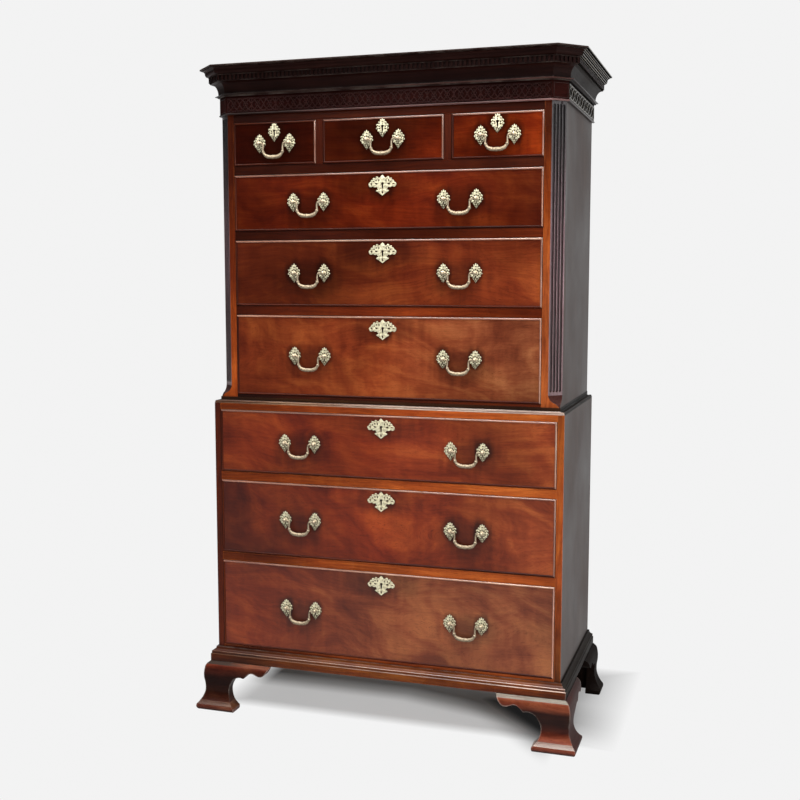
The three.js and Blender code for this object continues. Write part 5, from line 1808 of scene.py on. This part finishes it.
class CHEST_OT_stage(bpy.types.Operator):
    """Set the floor, the lamps, the backdrop and the camera"""
    bl_idname = "chest.stage"
    bl_label = "Stage"

    def execute(self, context):
        make_stage(context)
        return {"FINISHED"}


class CHEST_OT_boards(bpy.types.Operator):
    """Finish the sides, rails, dust boards, partitions and drawer linings"""
    bl_idname = "chest.boards"
    bl_label = "Boards"

    def execute(self, context):
        dress_boards(context)
        return {"FINISHED"}


class CHEST_OT_backs(bpy.types.Operator):
    """Lay the nailed planks of both backs"""
    bl_idname = "chest.backs"
    bl_label = "Back planks"

    def execute(self, context):
        make_backs(context)
        return {"FINISHED"}


class CHEST_OT_mouldings(bpy.types.Operator):
    """Run the cornice, the frieze and the waist and base mouldings"""
    bl_idname = "chest.mouldings"
    bl_label = "Mouldings"

    def execute(self, context):
        make_mouldings(context)
        return {"FINISHED"}


class CHEST_OT_dentils(bpy.types.Operator):
    """Set the course of dentils"""
    bl_idname = "chest.dentils"
    bl_label = "Dentils"

    def execute(self, context):
        make_dentils(context)
        return {"FINISHED"}


class CHEST_OT_fret(bpy.types.Operator):
    """Carve the blind fret of the frieze"""
    bl_idname = "chest.fret"
    bl_label = "Frieze fret"

    def execute(self, context):
        make_fret(context)
        return {"FINISHED"}


class CHEST_OT_corners(bpy.types.Operator):
    """Cut the canted and fluted corner posts"""
    bl_idname = "chest.corners"
    bl_label = "Corner posts"

    def execute(self, context):
        make_corners(context)
        return {"FINISHED"}


class CHEST_OT_feet(bpy.types.Operator):
    """Shape the ogee bracket feet"""
    bl_idname = "chest.feet"
    bl_label = "Feet"

    def execute(self, context):
        make_feet(context)
        return {"FINISHED"}


class CHEST_OT_fronts(bpy.types.Operator):
    """Make the veneered drawer fronts and their cock beads"""
    bl_idname = "chest.fronts"
    bl_label = "Drawer fronts"

    def execute(self, context):
        make_fronts(context)
        return {"FINISHED"}


class CHEST_OT_dovetails(bpy.types.Operator):
    """Let the oak tails into the ends of the fronts"""
    bl_idname = "chest.dovetails"
    bl_label = "Dovetails"

    def execute(self, context):
        make_dovetails(context)
        return {"FINISHED"}


class CHEST_OT_handles(bpy.types.Operator):
    """Hang the bails in their posts over the pierced plates"""
    bl_idname = "chest.handles"
    bl_label = "Handles"

    def execute(self, context):
        make_handles(context)
        return {"FINISHED"}


class CHEST_OT_key_plates(bpy.types.Operator):
    """Fix the key plates over the key holes"""
    bl_idname = "chest.key_plates"
    bl_label = "Key plates"

    def execute(self, context):
        make_key_plates(context)
        return {"FINISHED"}


class CHEST_OT_locks(bpy.types.Operator):
    """Let the locks into the backs of the fronts"""
    bl_idname = "chest.locks"
    bl_label = "Locks"

    def execute(self, context):
        make_locks(context)
        return {"FINISHED"}


STEPS = (
    CHEST_OT_stage, CHEST_OT_boards, CHEST_OT_backs, CHEST_OT_mouldings, CHEST_OT_dentils, CHEST_OT_fret,
    CHEST_OT_corners, CHEST_OT_feet, CHEST_OT_fronts, CHEST_OT_dovetails, CHEST_OT_handles,
    CHEST_OT_key_plates, CHEST_OT_locks,
)


class CHEST_PT_panel(bpy.types.Panel):
    """The chest's sizes, colours and pieces"""
    bl_idname = "CHEST_PT_panel"
    bl_label = "Chest on chest"
    bl_space_type = "VIEW_3D"
    bl_region_type = "UI"
    bl_category = "Chest"

    def draw(self, context):
        for group in (context.scene.chest_sizes, context.scene.chest_colours):
            box = self.layout.box()
            for name in group.__annotations__:
                box.prop(group, name)
        for step in STEPS:
            self.layout.operator(step.bl_idname)


CLASSES = (ChestSizes, ChestColours, *STEPS, CHEST_PT_panel)


def register():
    for kind in CLASSES:
        bpy.utils.register_class(kind)
    bpy.types.Scene.chest_sizes = bpy.props.PointerProperty(type=ChestSizes)
    bpy.types.Scene.chest_colours = bpy.props.PointerProperty(type=ChestColours)


def unregister():
    del bpy.types.Scene.chest_colours
    del bpy.types.Scene.chest_sizes
    for kind in reversed(CLASSES):
        bpy.utils.unregister_class(kind)


def main():
    register()
    for step in STEPS:
        group, name = step.bl_idname.split(".")
        getattr(getattr(bpy.ops, group), name)()
    bpy.context.view_layer.update()


if __name__ == "__main__":
    main()
